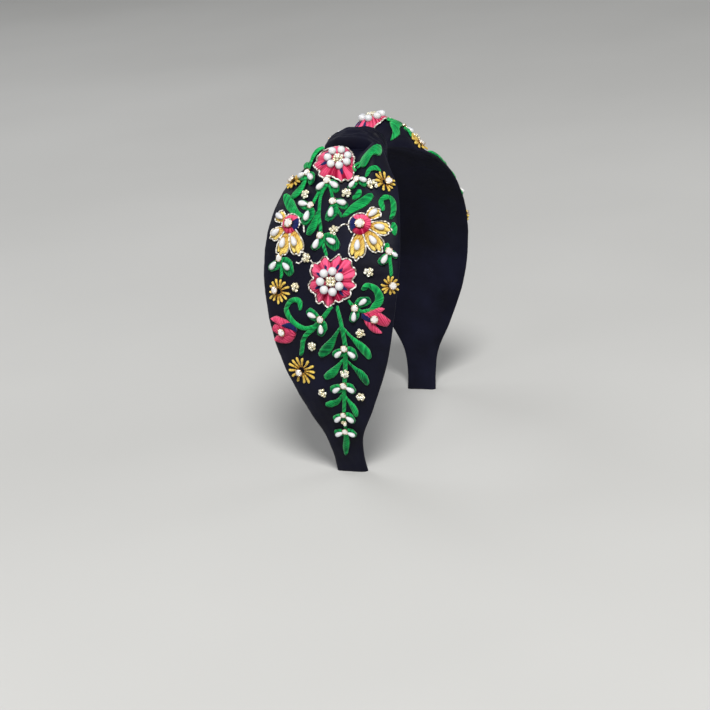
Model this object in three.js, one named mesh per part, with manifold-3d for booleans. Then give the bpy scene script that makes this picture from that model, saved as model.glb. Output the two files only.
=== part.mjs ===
// An embroidered headband with a knot of folded cloth at the crown, standing on its two tips.
// Millimetres, +Z up. The wearer would face -Y, and the wearer's right side is at -X.
// The origin is on the floor, midway between the tips.
import * as THREE from 'three';
import { mergeVertices } from 'three/addons/utils/BufferGeometryUtils.js';
import Module from 'manifold-3d';

const wasm = await Module();
wasm.setup();

// Arch of the outer cloth surface, from the crown down one side: three arcs that meet smoothly
const CROWN_HEIGHT = 148;
const CROWN_RADIUS = 62;
const CROWN_ARC = 65;
const SHOULDER_RADIUS = 95;
const SHOULDER_ARC = 53;
const LEG_RADIUS = 250;
const HALF_LENGTH = 190;

// The padded band
const CROSS_RADIUS = 90;
const BAND_THICKNESS = 3;
const EDGE_ROUNDING = 10;
const TOP_STOPS = [-1, -0.92, -0.75, -0.55, -0.35, -0.13, 0.13, 0.35, 0.55, 0.75, 0.92, 1];
const UNDER_STOPS = [0.7, 0.24, -0.24, -0.7];
const KNOT_REACH = 46;
const KNOT_STEP = 3.6;
const LEG_STEP = 9;

// Half of the band's width at places along one side
const HALF_WIDTHS = [
  { along: 0, half: 12.8 },
  { along: 9, half: 14.6 },
  { along: 20, half: 22.6 },
  { along: 32, half: 29.2 },
  { along: 50, half: 33.6 },
  { along: 75, half: 35.6 },
  { along: 100, half: 33.2 },
  { along: 125, half: 27.6 },
  { along: 150, half: 17 },
  { along: 164, half: 10 },
  { along: 176, half: 8 },
  { along: 190, half: 8 },
];

// Plump folds where the cloth gathers into the knot. side -1 is the wearer's right.
// rise is how far the fold starts above its middle, fall how far it runs down the side.
const LOBES = [
  { side: -1, along: 20, across: 4, rise: 15, fall: 32, reach: 17, height: 5.6 },
  { side: -1, along: 16, across: 15, rise: 12, fall: 20, reach: 9, height: 2.6 },
  { side: -1, along: 15, across: -15.5, rise: 16, fall: 34, reach: 10, height: 9.6 },
  { side: 1, along: 19, across: -1, rise: 15, fall: 32, reach: 15.5, height: 10.8 },
  { side: 1, along: 20, across: -14, rise: 16, fall: 32, reach: 11, height: 6.5 },
  { side: 1, along: 22, across: 20, rise: 14, fall: 24, reach: 13, height: 4.4 },
];
const LOBE_EDGE_POWER = 8;

// The wrap of folded cloth around the neck of the band
const WRAP_CLEARANCE = 0.5;
const WRAP_LAY = 0.8;
const WRAP_TOP_HEIGHT = 11.2;
const WRAP_RISE = 0.88;
const WRAP_SLOPE = 0.16;
const WRAP_SIDE_THICKNESS = 2.4;
const WRAP_UNDER_THICKNESS = 2.6;
const WRAP_STEPS = 28;
const WRAP_STOPS = [-1, -0.84, -0.56, -0.28, 0, 0.28, 0.56, 0.84, 1];
const WRAP_INNER_STOPS = [0.86, 0.3, -0.3, -0.86];
const WRAP_FOLDS = 3;
const WRAP_FOLD_DEPTH = 0.13;
// turn: degrees round the ring from the back edge over the top. shift: toward the left side.
const WRAP_PATH = [
  { turn: 0, shift: 0.5, half: 6.8 },
  { turn: 90, shift: -3.4, half: 7.4 },
  { turn: 180, shift: -6.5, half: 7.6 },
  { turn: 270, shift: -2.6, half: 7 },
  { turn: 360, shift: 0.5, half: 6.8 },
];
// How square the wrap's section is inside, and how round outside, over and under the neck
const WRAP_INNER_POWER = 0.45;
const WRAP_SIDE_POWER = 0.9;
const WRAP_OVER_POWER = 0.75;
const WRAP_UNDER_POWER = 0.6;
const WRAP_LEAST_SWELL = 0.12;

// Embroidery and stones
const CLOTH_GAP = 0.35;
const GATHER_GAP = 0.6;
const STITCH_HEIGHT = 1;
const STEM_WIDTH = 1.7;
const STEM_HEIGHT = 0.9;
const CURL_WIDTH = 2.4;
const PEARL_RADIUS = 2.06;
const PEARL_SIDES = 10;
const DROP_SIZE = { length: 4.6, width: 3, height: 2.4 };
const DROP_SIDES = 8;
const SPRIG_LEAF = { length: 6.8, width: 4.6 };
const STONE_RADIUS = 1.8;
const STONE_SIDES = 8;
const HEART_STONE_RADIUS = 2.1;
const DAISY_STONE_RADIUS = 1.7;
const LAYER_STEP = 0.12;
const LAYERS = 4;
const STROKE_STEP = 7;
const GATHERED_STROKE_STEP = 3;
const UPPER_FLOWER_SHIFT = 8;
const SHIFT_END = 60;
const SHIFT_RUN = 34;
const BRIM_SHARE = 0.93;
const HOLLOW_SHARE = 0.5;

// Pink flowers: a scalloped pad, a ring of pearls and a beaded centre.
// tuck is the share of the radius that is folded away at the front, ring the radius of the ring of pearls.
const PEARL_FLOWERS = [
  { name: 'upper_flower', along: 26, across: -0.2, radius: 10.8, petals: 9, tuck: 0.1, ring: 4.85 },
  { name: 'middle_flower', along: 84.2, across: -3.6, radius: 12.2, petals: 11, tuck: 0, ring: 4.85 },
];
const PEARLS_PER_FLOWER = 7;
const SCALLOP_DEPTH = 0.07;
const CENTRE_RADIUS = 2.7;
const CENTRE_HEIGHT = 2;

// Fan flowers: a heart with a stone, and petals that each carry a drop pearl
const FAN_FLOWERS = [
  {
    name: 'front_fan_flower',
    along: 56,
    across: -15.5,
    heart: 5.4,
    petals: [
      { tipAlong: 47.4, tipAcross: -21.4, width: 6 },
      { tipAlong: 57.6, tipAcross: -29.6, width: 6.8 },
      { tipAlong: 69, tipAcross: -25, width: 7 },
      { tipAlong: 73, tipAcross: -14.5, width: 7.6 },
    ],
  },
  {
    name: 'back_fan_flower',
    along: 55.5,
    across: 20.6,
    heart: 5,
    petals: [
      { tipAlong: 49, tipAcross: 29, width: 5.6 },
      { tipAlong: 61.5, tipAcross: 31, width: 6 },
      { tipAlong: 71, tipAcross: 24, width: 6.6 },
      { tipAlong: 70, tipAcross: 14, width: 6.6 },
    ],
  },
];

const DROP_PLACE = 0.62;
const HEART_CLEARANCE = 0.6;
const HEART_STEPS = 5;

// Gold daisies, each with a stone set off its centre
const DAISIES = [
  { name: 'daisy_top_back', along: 31.4, across: 24.2, radius: 3.6, stoneAlong: 31.3, stoneAcross: 24.3 },
  { name: 'daisy_top_front', along: 33, across: -23.6, radius: 4.8, stoneAlong: 32.6, stoneAcross: -24.6 },
  { name: 'daisy_middle_back', along: 89.3, across: 24.6, radius: 6.3, stoneAlong: 88.8, stoneAcross: 25.8 },
  { name: 'daisy_middle_front', along: 86, across: -31.4, radius: 3.9, stoneAlong: 86, stoneAcross: -31.6 },
  { name: 'daisy_lower_back', along: 128.2, across: 15.4, radius: 7, stoneAlong: 128.8, stoneAcross: 16 },
];
const DAISY_PETALS = 10;
const DAISY_NOTCH = 0.62;

// Tulips: pads whose outline runs from the base round the three tips
const TULIPS = [
  {
    name: 'tulip_back',
    stone: { along: 109, across: 22.8 },
    outline: [
      { along: 106.5, across: 14.6 },
      { along: 104.6, across: 19 },
      { along: 104.4, across: 24.5 },
      { along: 106.4, across: 30 },
      { along: 108.6, across: 27.4 },
      { along: 112.4, across: 29.8 },
      { along: 115.4, across: 25 },
      { along: 113.4, across: 20 },
      { along: 109.8, across: 17 },
    ],
  },
  {
    name: 'tulip_front',
    stone: { along: 101.8, across: -23.8 },
    outline: [
      { along: 101.2, across: -18.4 },
      { along: 104.6, across: -20.4 },
      { along: 108.8, across: -26.4 },
      { along: 105.2, across: -27.2 },
      { along: 103, across: -30.8 },
      { along: 100, across: -27.6 },
      { along: 97.2, across: -28.4 },
      { along: 99.2, across: -21.4 },
    ],
  },
];

// Stems, leaves and curls are strokes: a middle line in along and across, and a width for each point.
// A sprig is a stone with two drop pearls on leaf pads; heading 0 points down the side, 90 to the back.
const SPRAYS = [
  {
    name: 'long_leaf_spray',
    strokes: [
      { kind: 'leaf', line: [[31.4, 15.4], [35, 16.4], [39, 18.6], [42.6, 21]], widths: [1.2, 2.6, 4.6, 2.4] },
      { kind: 'leaf', line: [[15.6, 10.8], [17.6, 12.8], [20.2, 13.6], [23.4, 14]], widths: [2.2, 3.2, 3, 1.4] },
      { kind: 'leaf', line: [[22.6, 14.2], [23.8, 17], [23.4, 20]], widths: [1.8, 3.2, 2] },
      { kind: 'stem', line: [[22.6, 14], [26.4, 14.6], [30.6, 14.8]] },
    ],
    sprigs: [{ along: 30.6, across: 14.8, length: 4.8, headings: [84, -38] }],
  },
  {
    name: 'main_spray',
    strokes: [
      { kind: 'stem', line: [[37.4, 2.8], [44, 5.2], [52, 5], [58, 3.4], [63, 2.4], [68, 0.6], [71.2, -0.6]] },
      { kind: 'stem', line: [[38, 3.6], [42, 7.4], [47.6, 11.4]] },
      { kind: 'stem', line: [[38, 2], [41, 0.4], [46.4, -1.4]] },
      { kind: 'stem', line: [[46.4, -1.4], [50.4, -4.2], [53.6, -6.8]] },
      { kind: 'leaf', line: [[53.4, -7.2], [49.2, -11.4], [45.8, -15], [41.6, -18.6]], widths: [1.6, 4.4, 5, 1.8] },
      { kind: 'leaf', line: [[52.2, 11.6], [49.2, 16.6], [45.4, 22.4], [39.4, 28]], widths: [1.6, 4.6, 5.4, 3.4] },
      { kind: 'stem', line: [[47.6, 11.4], [50.4, 11.2], [52.4, 11.8]] },
      { kind: 'leaf', line: [[51, 5.2], [55, 6.2], [58.6, 7], [62, 7.4]], widths: [1.4, 3.8, 4.6, 2.4] },
    ],
    sprigs: [
      { along: 37.6, across: 2.6, headings: [48, -56] },
      { along: 47.6, across: 11.4, headings: [110, 14] },
      { along: 46.4, across: -1.4, headings: [-76, 4] },
      { along: 63, across: 2.4, headings: [30, -52] },
    ],
  },
  {
    name: 'back_sprig',
    strokes: [{ kind: 'stem', line: [[73.4, 23.6], [78, 22.8], [82.4, 22.6]] }],
    sprigs: [{ along: 73.4, across: 23.6, headings: [42, -42] }],
  },
  {
    name: 'front_sprig',
    strokes: [
      { kind: 'stem', line: [[69.4, -30.4], [75, -31.2], [80.6, -32]] },
      { kind: 'leaf', line: [[69.4, -30], [67.4, -29.2], [65.8, -28.4]], widths: [1.6, 3, 1.6] },
    ],
    sprigs: [{ along: 69.4, across: -30.4, headings: [36, -60] }],
  },
  {
    name: 'valley_sprig',
    strokes: [],
    sprigs: [{ along: 36, across: -10.8, length: 5.4, headings: [34, -72] }],
  },
  {
    name: 'hook_vine',
    strokes: [
      { kind: 'curl', line: [[97, -2.4], [101.6, 1.4], [106, 5.8], [111.6, 11.6], [120, 14.4]] },
      { kind: 'curl', line: [[105, 5], [106.4, 10.6], [103.8, 16.8], [98.4, 20], [94, 17.6], [93.6, 13.6], [98, 12]] },
    ],
    sprigs: [{ along: 101.7, across: 1.8, headings: [118, 6] }],
  },
  {
    name: 'curl_vine',
    strokes: [
      { kind: 'stem', line: [[93.6, -12.4], [96.3, -15], [98, -18.4]] },
      {
        kind: 'leaf',
        line: [[98, -18.4], [96.8, -23.2], [92.4, -25.6], [88.2, -24.2], [86.4, -21], [88, -19]],
        widths: [1.6, 2.8, 4, 3.6, 3, 2.2],
      },
    ],
    sprigs: [{ along: 96.3, across: -15, headings: [-130, 2] }],
  },
  {
    name: 'centre_spray',
    strokes: [
      { kind: 'curl', line: [[97.2, -6.6], [105, -8], [115, -8.8], [122, -8], [130, -6.8]] },
      { kind: 'curl', line: [[129, -7], [136, -5.4], [143, -4.4], [151, -2.8]] },
      { kind: 'stem', line: [[150, -3], [155, -2.4], [160, -2.2]] },
      { kind: 'leaf', line: [[106, -7.6], [112, -2.6], [116.6, 0.8], [120, 3.4]], widths: [1.4, 3.6, 5, 3] },
      { kind: 'leaf', line: [[107, -9.2], [112, -13.4], [116.6, -17.4], [120.4, -20.2]], widths: [1.4, 2.8, 4.4, 3] },
      { kind: 'leaf', line: [[121.6, -7.6], [125.6, -3], [129, 0], [131.4, 2.4]], widths: [1.4, 3.4, 4.2, 2.6] },
      { kind: 'leaf', line: [[123, -9], [127, -12.6], [131, -15.4], [134, -17.4]], widths: [1.4, 2.8, 4.2, 2.8] },
      { kind: 'leaf', line: [[139.4, -4.6], [143.4, -1.4], [145, 2], [146, 4.8]], widths: [1.2, 2.6, 3.4, 2.2] },
      { kind: 'leaf', line: [[140.6, -5.2], [144.6, -7], [148.4, -8.6], [151.6, -9.4]], widths: [1.2, 2.8, 3.4, 1.6] },
      { kind: 'leaf', line: [[159, -2.2], [165, -1.4], [170, -0.4], [174.4, 0.4]], widths: [1.2, 2.8, 3.2, 1.4] },
    ],
    sprigs: [
      { along: 115.6, across: -8.5, headings: [52, -56] },
      { along: 134.6, across: -5.6, headings: [62, -62] },
      { along: 150.4, across: -3, headings: [56, -54] },
      { along: 159.8, across: -2.2, headings: [70, -70] },
    ],
  },
  {
    name: 'crescent_leaf',
    strokes: [
      { kind: 'leaf', line: [[15.6, -15.4], [19.4, -14], [24.4, -13], [29, -14]], widths: [1, 4.4, 5.6, 2] },
    ],
    sprigs: [],
  },
  {
    name: 'hanging_leaf',
    strokes: [{ kind: 'leaf', line: [[40.2, -12.2], [42.2, -12.2], [44.4, -10.6]], widths: [1.8, 2.6, 1.2] }],
    sprigs: [],
  },
  {
    name: 'ribbon_curl',
    strokes: [
      {
        kind: 'curl',
        line: [[48.2, -26], [44, -24.4], [41.4, -26], [43, -28.6], [47.6, -30], [52.4, -29.6]],
      },
    ],
    sprigs: [],
  },
  {
    name: 'edge_leaf',
    strokes: [{ kind: 'leaf', line: [[54.6, -30.6], [57.6, -31.8], [60.6, -32.6]], widths: [2.2, 3, 1.2] }],
    sprigs: [],
  },
  {
    name: 'valley_curl',
    strokes: [
      { kind: 'curl', line: [[29.4, -18.4], [30.6, -16.6], [33, -15.4]] },
    ],
    sprigs: [],
  },
];

// Smooth curve through the rows of a table, by Hermite pieces with central slopes
function smoothRow(table, key, field, at) {
  const last = table.length - 1;
  const x = THREE.MathUtils.clamp(at, table[0][key], table[last][key]);
  let i = 0;
  while (i < last - 1 && x > table[i + 1][key]) i += 1;
  const slope = (k) => {
    const before = table[Math.max(0, k - 1)];
    const after = table[Math.min(last, k + 1)];
    return (after[field] - before[field]) / (after[key] - before[key]);
  };
  const span = table[i + 1][key] - table[i][key];
  const u = (x - table[i][key]) / span;
  const ease = u * u * (3 - 2 * u);
  const leave = u * (1 - u) * (1 - u) * span * slope(i);
  const arrive = u * u * (u - 1) * span * slope(i + 1);
  return THREE.MathUtils.lerp(table[i][field], table[i + 1][field], ease) + leave + arrive;
}

function halfWidth(along) {
  return smoothRow(HALF_WIDTHS, 'along', 'half', Math.abs(along));
}

// The arch frame at a signed distance from the crown: position, and the turn of its outward normal
function archAt(along) {
  const side = along < 0 ? -1 : 1;
  let left = Math.abs(along);
  let turn = 0;
  let x = 0;
  let z = CROWN_HEIGHT;
  const arcs = [
    [CROWN_RADIUS, CROWN_ARC],
    [SHOULDER_RADIUS, SHOULDER_ARC],
    [LEG_RADIUS, Infinity],
  ];
  for (const [radius, length] of arcs) {
    const step = Math.min(left, length);
    const next = turn + step / radius;
    x += radius * (Math.sin(next) - Math.sin(turn));
    z -= radius * (Math.cos(turn) - Math.cos(next));
    turn = next;
    left -= step;
  }
  return { x: side * x, z, nx: side * Math.sin(turn), nz: Math.cos(turn) };
}

// A point at a height over the arch's plain outer surface
function overArch(along, across, height) {
  const arch = archAt(along);
  const angle = across / CROSS_RADIUS;
  const drop = CROSS_RADIUS * (Math.cos(angle) - 1);
  const rise = drop + height * Math.cos(angle);
  return new THREE.Vector3(
    arch.x + arch.nx * rise,
    (CROSS_RADIUS + height) * Math.sin(angle),
    arch.z + arch.nz * rise,
  );
}

function bump(u) {
  const inside = Math.max(0, 1 - u * u);
  return inside * inside;
}

// How far the gathered cloth stands above the arch
function lobeHeight(along, across) {
  const side = along < 0 ? -1 : 1;
  const distance = Math.abs(along);
  const edge = Math.max(0, 1 - Math.abs(across / halfWidth(along)) ** LOBE_EDGE_POWER);
  let height = 0;
  for (const lobe of LOBES) {
    if (lobe.side !== side) continue;
    const run = distance < lobe.along ? lobe.rise : lobe.fall;
    const lengthwise = bump((distance - lobe.along) / run);
    const crosswise = bump((across - lobe.across) / lobe.reach);
    height += lobe.height * lengthwise * crosswise;
  }
  return height * Math.sqrt(edge);
}

function roundedEdge(stop) {
  return Math.sqrt(Math.max(0, 1 - Math.abs(stop) ** EDGE_ROUNDING));
}

// The stops along the whole band, close together by the knot
function bandStops() {
  const stops = [];
  const knotCount = Math.ceil(KNOT_REACH / KNOT_STEP);
  const legCount = Math.ceil((HALF_LENGTH - KNOT_REACH) / LEG_STEP);
  for (let i = 0; i <= knotCount; i += 1) stops.push((KNOT_REACH * i) / knotCount);
  for (let i = 1; i <= legCount; i += 1) {
    stops.push(KNOT_REACH + ((HALF_LENGTH - KNOT_REACH) * i) / legCount);
  }
  const mirrored = stops.slice(1).reverse().map((stop) => -stop);
  return [...mirrored, ...stops];
}

const STOPS = bandStops();

// Height of the cloth over the arch at a stop along and a share of the half width
function clothHeight(along, share) {
  const edge = (BAND_THICKNESS / 2) * (roundedEdge(share) - 1);
  return edge + lobeHeight(along, share * halfWidth(along));
}

// The place of a value between the stops of a list: the lower stop and the share to the next
function between(stops, value) {
  let i = 0;
  while (i < stops.length - 2 && value > stops[i + 1]) i += 1;
  const share = (value - stops[i]) / (stops[i + 1] - stops[i]);
  return [i, THREE.MathUtils.clamp(share, 0, 1)];
}

// Height of the band's faces over the arch
function faceHeight(along, across) {
  const [i, u] = between(STOPS, along);
  const [j, v] = between(TOP_STOPS, across / halfWidth(along));
  const row = (k) =>
    THREE.MathUtils.lerp(clothHeight(STOPS[i], TOP_STOPS[k]), clothHeight(STOPS[i + 1], TOP_STOPS[k]), u);
  return THREE.MathUtils.lerp(row(j), row(j + 1), v);
}

// A point at a height over the band's faces
function overCloth(along, across, height) {
  return overArch(along, across, faceHeight(along, across) + height);
}

// Closed solid through rings of equal count, with a point at each end
function loft(rings, start, end) {
  const count = rings[0].length;
  const points = [start, ...rings.flat(), end];
  const triangles = [];
  const at = (ring, i) => 1 + ring * count + (i % count);
  for (let i = 0; i < count; i += 1) {
    triangles.push(0, at(0, i + 1), at(0, i));
    for (let ring = 0; ring < rings.length - 1; ring += 1) {
      triangles.push(at(ring, i), at(ring, i + 1), at(ring + 1, i + 1));
      triangles.push(at(ring, i), at(ring + 1, i + 1), at(ring + 1, i));
    }
    triangles.push(at(rings.length - 1, i), at(rings.length - 1, i + 1), points.length - 1);
  }
  return facingOut(points, triangles);
}

// Closed ring through sections that meet again where they began
function ringLoft(sections) {
  const count = sections[0].length;
  const triangles = [];
  const at = (section, i) => (section % sections.length) * count + (i % count);
  for (let section = 0; section < sections.length; section += 1) {
    for (let i = 0; i < count; i += 1) {
      triangles.push(at(section, i), at(section, i + 1), at(section + 1, i + 1));
      triangles.push(at(section, i), at(section + 1, i + 1), at(section + 1, i));
    }
  }
  return facingOut(sections.flat(), triangles);
}

// Geometry whose faces point outwards, whichever way round the rings ran
function facingOut(points, triangles) {
  let volume = 0;
  for (let i = 0; i < triangles.length; i += 3) {
    const [a, b, c] = triangles.slice(i, i + 3).map((k) => points[k]);
    volume += a.dot(new THREE.Vector3().crossVectors(b, c));
  }
  const index = volume < 0 ? [...triangles].reverse() : triangles;
  const geometry = new THREE.BufferGeometry().setFromPoints(points);
  geometry.setIndex(index);
  return geometry;
}

function toManifold(geometry) {
  const bare = new THREE.BufferGeometry();
  bare.setAttribute('position', geometry.getAttribute('position'));
  bare.setIndex(geometry.index);
  const merged = mergeVertices(bare, 1e-3);
  return new wasm.Manifold(
    new wasm.Mesh({
      numProp: 3,
      vertProperties: merged.getAttribute('position').array,
      triVerts: new Uint32Array(merged.index.array),
    }),
  );
}

function toGeometry(solid) {
  const mesh = solid.getMesh();
  const geometry = new THREE.BufferGeometry();
  geometry.setAttribute('position', new THREE.BufferAttribute(mesh.vertProperties, 3));
  geometry.setIndex(new THREE.BufferAttribute(mesh.triVerts, 1));
  return geometry;
}

function fuse(geometries) {
  return toGeometry(geometries.map(toManifold).reduce((joined, next) => joined.add(next)));
}

function named(name, geometry, material) {
  const mesh = new THREE.Mesh(geometry, material);
  mesh.name = name;
  geometry.computeVertexNormals();
  return mesh;
}

const cloth = new THREE.MeshStandardMaterial({ color: 0x1c1c28, roughness: 0.72, metalness: 0 });
const greenThread = new THREE.MeshStandardMaterial({ color: 0x2a9a55, roughness: 0.45, metalness: 0 });
const pinkThread = new THREE.MeshStandardMaterial({ color: 0xdc4a70, roughness: 0.45, metalness: 0 });
const yellowThread = new THREE.MeshStandardMaterial({ color: 0xd9b650, roughness: 0.45, metalness: 0 });
const goldThread = new THREE.MeshStandardMaterial({ color: 0xc29a35, roughness: 0.4, metalness: 0.3 });

function bandSection(along) {
  const half = halfWidth(along);
  const over = TOP_STOPS.map((stop) => overArch(along, stop * half, clothHeight(along, stop)));
  const under = UNDER_STOPS.map((stop) => {
    const depth = (BAND_THICKNESS / 2) * (1 + roundedEdge(stop));
    return overArch(along, stop * half, -depth);
  });
  return [...over, ...under];
}

function makeBand() {
  const sections = STOPS.map(bandSection);
  const middle = (along) => overArch(along, 0, -BAND_THICKNESS / 2);
  const whole = toManifold(loft(sections, middle(-HALF_LENGTH), middle(HALF_LENGTH)));
  const floorDepth = 20;
  const floor = new THREE.BoxGeometry(4 * HALF_LENGTH, 4 * HALF_LENGTH, floorDepth);
  floor.translate(0, 0, -floorDepth / 2);
  return toGeometry(whole.subtract(toManifold(floor)));
}

// One section of the wrap: inner side close to the cloth below, outer side domed with folds along the ring
function wrapSection(turn) {
  const shift = smoothRow(WRAP_PATH, 'turn', 'shift', turn);
  const half = smoothRow(WRAP_PATH, 'turn', 'half', turn);
  const angle = THREE.MathUtils.degToRad(turn);
  const round = (value, power) => Math.sign(value) * Math.abs(value) ** power;
  const innerHalfHeight = BAND_THICKNESS / 2 + WRAP_CLEARANCE;
  const innerHeight = innerHalfHeight * round(Math.sin(angle), WRAP_INNER_POWER) - BAND_THICKNESS / 2;
  const over = Math.sin(angle) > 0;
  const slope = WRAP_RISE - WRAP_SLOPE * Math.cos(angle);
  const reach = over ? slope * (WRAP_TOP_HEIGHT + BAND_THICKNESS / 2) : innerHalfHeight + WRAP_UNDER_THICKNESS;
  const outerPower = over ? WRAP_OVER_POWER : WRAP_UNDER_POWER;
  const outerHeight = reach * round(Math.sin(angle), outerPower) - BAND_THICKNESS / 2;
  const at = (stop, swell) => {
    const along = shift + stop * half;
    const neckHalf = halfWidth(along) + WRAP_CLEARANCE;
    const innerAcross = neckHalf * round(Math.cos(angle), WRAP_INNER_POWER);
    const laid = over ? faceHeight(along, innerAcross) + WRAP_LAY : innerHeight;
    const outerAcross = (neckHalf + WRAP_SIDE_THICKNESS) * round(Math.cos(angle), WRAP_SIDE_POWER);
    return overArch(
      along,
      THREE.MathUtils.lerp(innerAcross, outerAcross, swell),
      THREE.MathUtils.lerp(Math.max(innerHeight, laid), outerHeight, swell),
    );
  };
  const under = WRAP_INNER_STOPS.map((stop) => at(stop, 0));
  const outer = WRAP_STOPS.map((stop) => {
    const dome = Math.sqrt(Math.max(0, 1 - Math.abs(stop) ** 3));
    const fold = 1 - WRAP_FOLD_DEPTH * (0.5 + 0.5 * Math.cos(WRAP_FOLDS * Math.PI * (stop + 1)));
    return at(stop, Math.max(WRAP_LEAST_SWELL, dome * fold));
  });
  return [...under, ...outer];
}

function makeWrap() {
  const sections = [];
  for (let i = 0; i < WRAP_STEPS; i += 1) sections.push(wrapSection((360 * i) / WRAP_STEPS));
  return ringLoft(sections);
}

// Points round a middle, as [along, across] pairs; radius gives the distance for each angle
function around(along, across, sides, radius) {
  const points = [];
  for (let i = 0; i < sides; i += 1) {
    const angle = (2 * Math.PI * i) / sides;
    const reach = radius(angle, i);
    points.push([along + reach * Math.cos(angle), across + reach * Math.sin(angle)]);
  }
  return points;
}

// The part of a round pearl that shows over the stitches
function pearlMound(along, across) {
  const foot = around(along, across, PEARL_SIDES, () => PEARL_RADIUS);
  const rings = [[0.88, 0.62 * PEARL_RADIUS]];
  return { foot, middle: [along, across], rings, height: 1.35 * PEARL_RADIUS };
}

// The low dome of seed beads at a flower's middle
function centreMound(along, across) {
  const foot = around(along, across, STONE_SIDES, () => CENTRE_RADIUS);
  return { foot, middle: [along, across], rings: [[0.7, CENTRE_HEIGHT]], height: CENTRE_HEIGHT };
}

// A cut stone: a girdle wall, crown facets that slope inwards and a flat table
function stoneMound(along, across, radius = STONE_RADIUS) {
  const foot = around(along, across, STONE_SIDES, () => radius);
  return { foot, middle: [along, across], rings: [[0.6, 0.75 * radius]], height: 0.75 * radius };
}

// A drop pearl lying along a heading in radians
function dropMound(along, across, heading) {
  const { length, width, height } = DROP_SIZE;
  const foot = around(0, 0, DROP_SIDES, () => 1).map(([ahead, aside]) => {
    const x = (ahead * length) / 2;
    const y = ((aside * width) / 2) * (1 + 0.25 * ahead);
    return [
      along + x * Math.cos(heading) - y * Math.sin(heading),
      across + x * Math.sin(heading) + y * Math.cos(heading),
    ];
  });
  return { foot, middle: [along, across], rings: [[0.8, 0.6 * height]], height };
}

// Outline of a fan flower: a round heart with petals, each given by its tip and width
function fanOutline(row) {
  const corners = [];
  const headings = [];
  for (const petal of row.petals) {
    const run = petal.tipAlong - row.along;
    const reach = petal.tipAcross - row.across;
    const length = Math.hypot(run, reach);
    const heading = Math.atan2(reach, run);
    const spread = (0.46 * petal.width) / (0.62 * length);
    headings.push(heading);
    for (const [turn, share] of [[-1, 0.62], [-0.52, 0.94], [0, 1], [0.52, 0.94], [1, 0.62]]) {
      corners.push([heading + turn * spread, share * length]);
    }
  }
  headings.sort((a, b) => a - b);
  for (let i = 1; i < headings.length; i += 1) {
    corners.push([(headings[i - 1] + headings[i]) / 2, 1.15 * row.heart]);
  }
  const first = headings[headings.length - 1] + HEART_CLEARANCE;
  const last = headings[0] + 2 * Math.PI - HEART_CLEARANCE;
  for (let i = 0; i <= HEART_STEPS; i += 1) {
    corners.push([THREE.MathUtils.lerp(first, last, i / HEART_STEPS), row.heart]);
  }
  const turned = corners.map(([angle, radius]) => [angle > Math.PI ? angle - 2 * Math.PI : angle, radius]);
  turned.sort((a, b) => a[0] - b[0]);
  return turned.map(([angle, radius]) => [
    row.along + radius * Math.cos(angle),
    row.across + radius * Math.sin(angle),
  ]);
}

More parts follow.
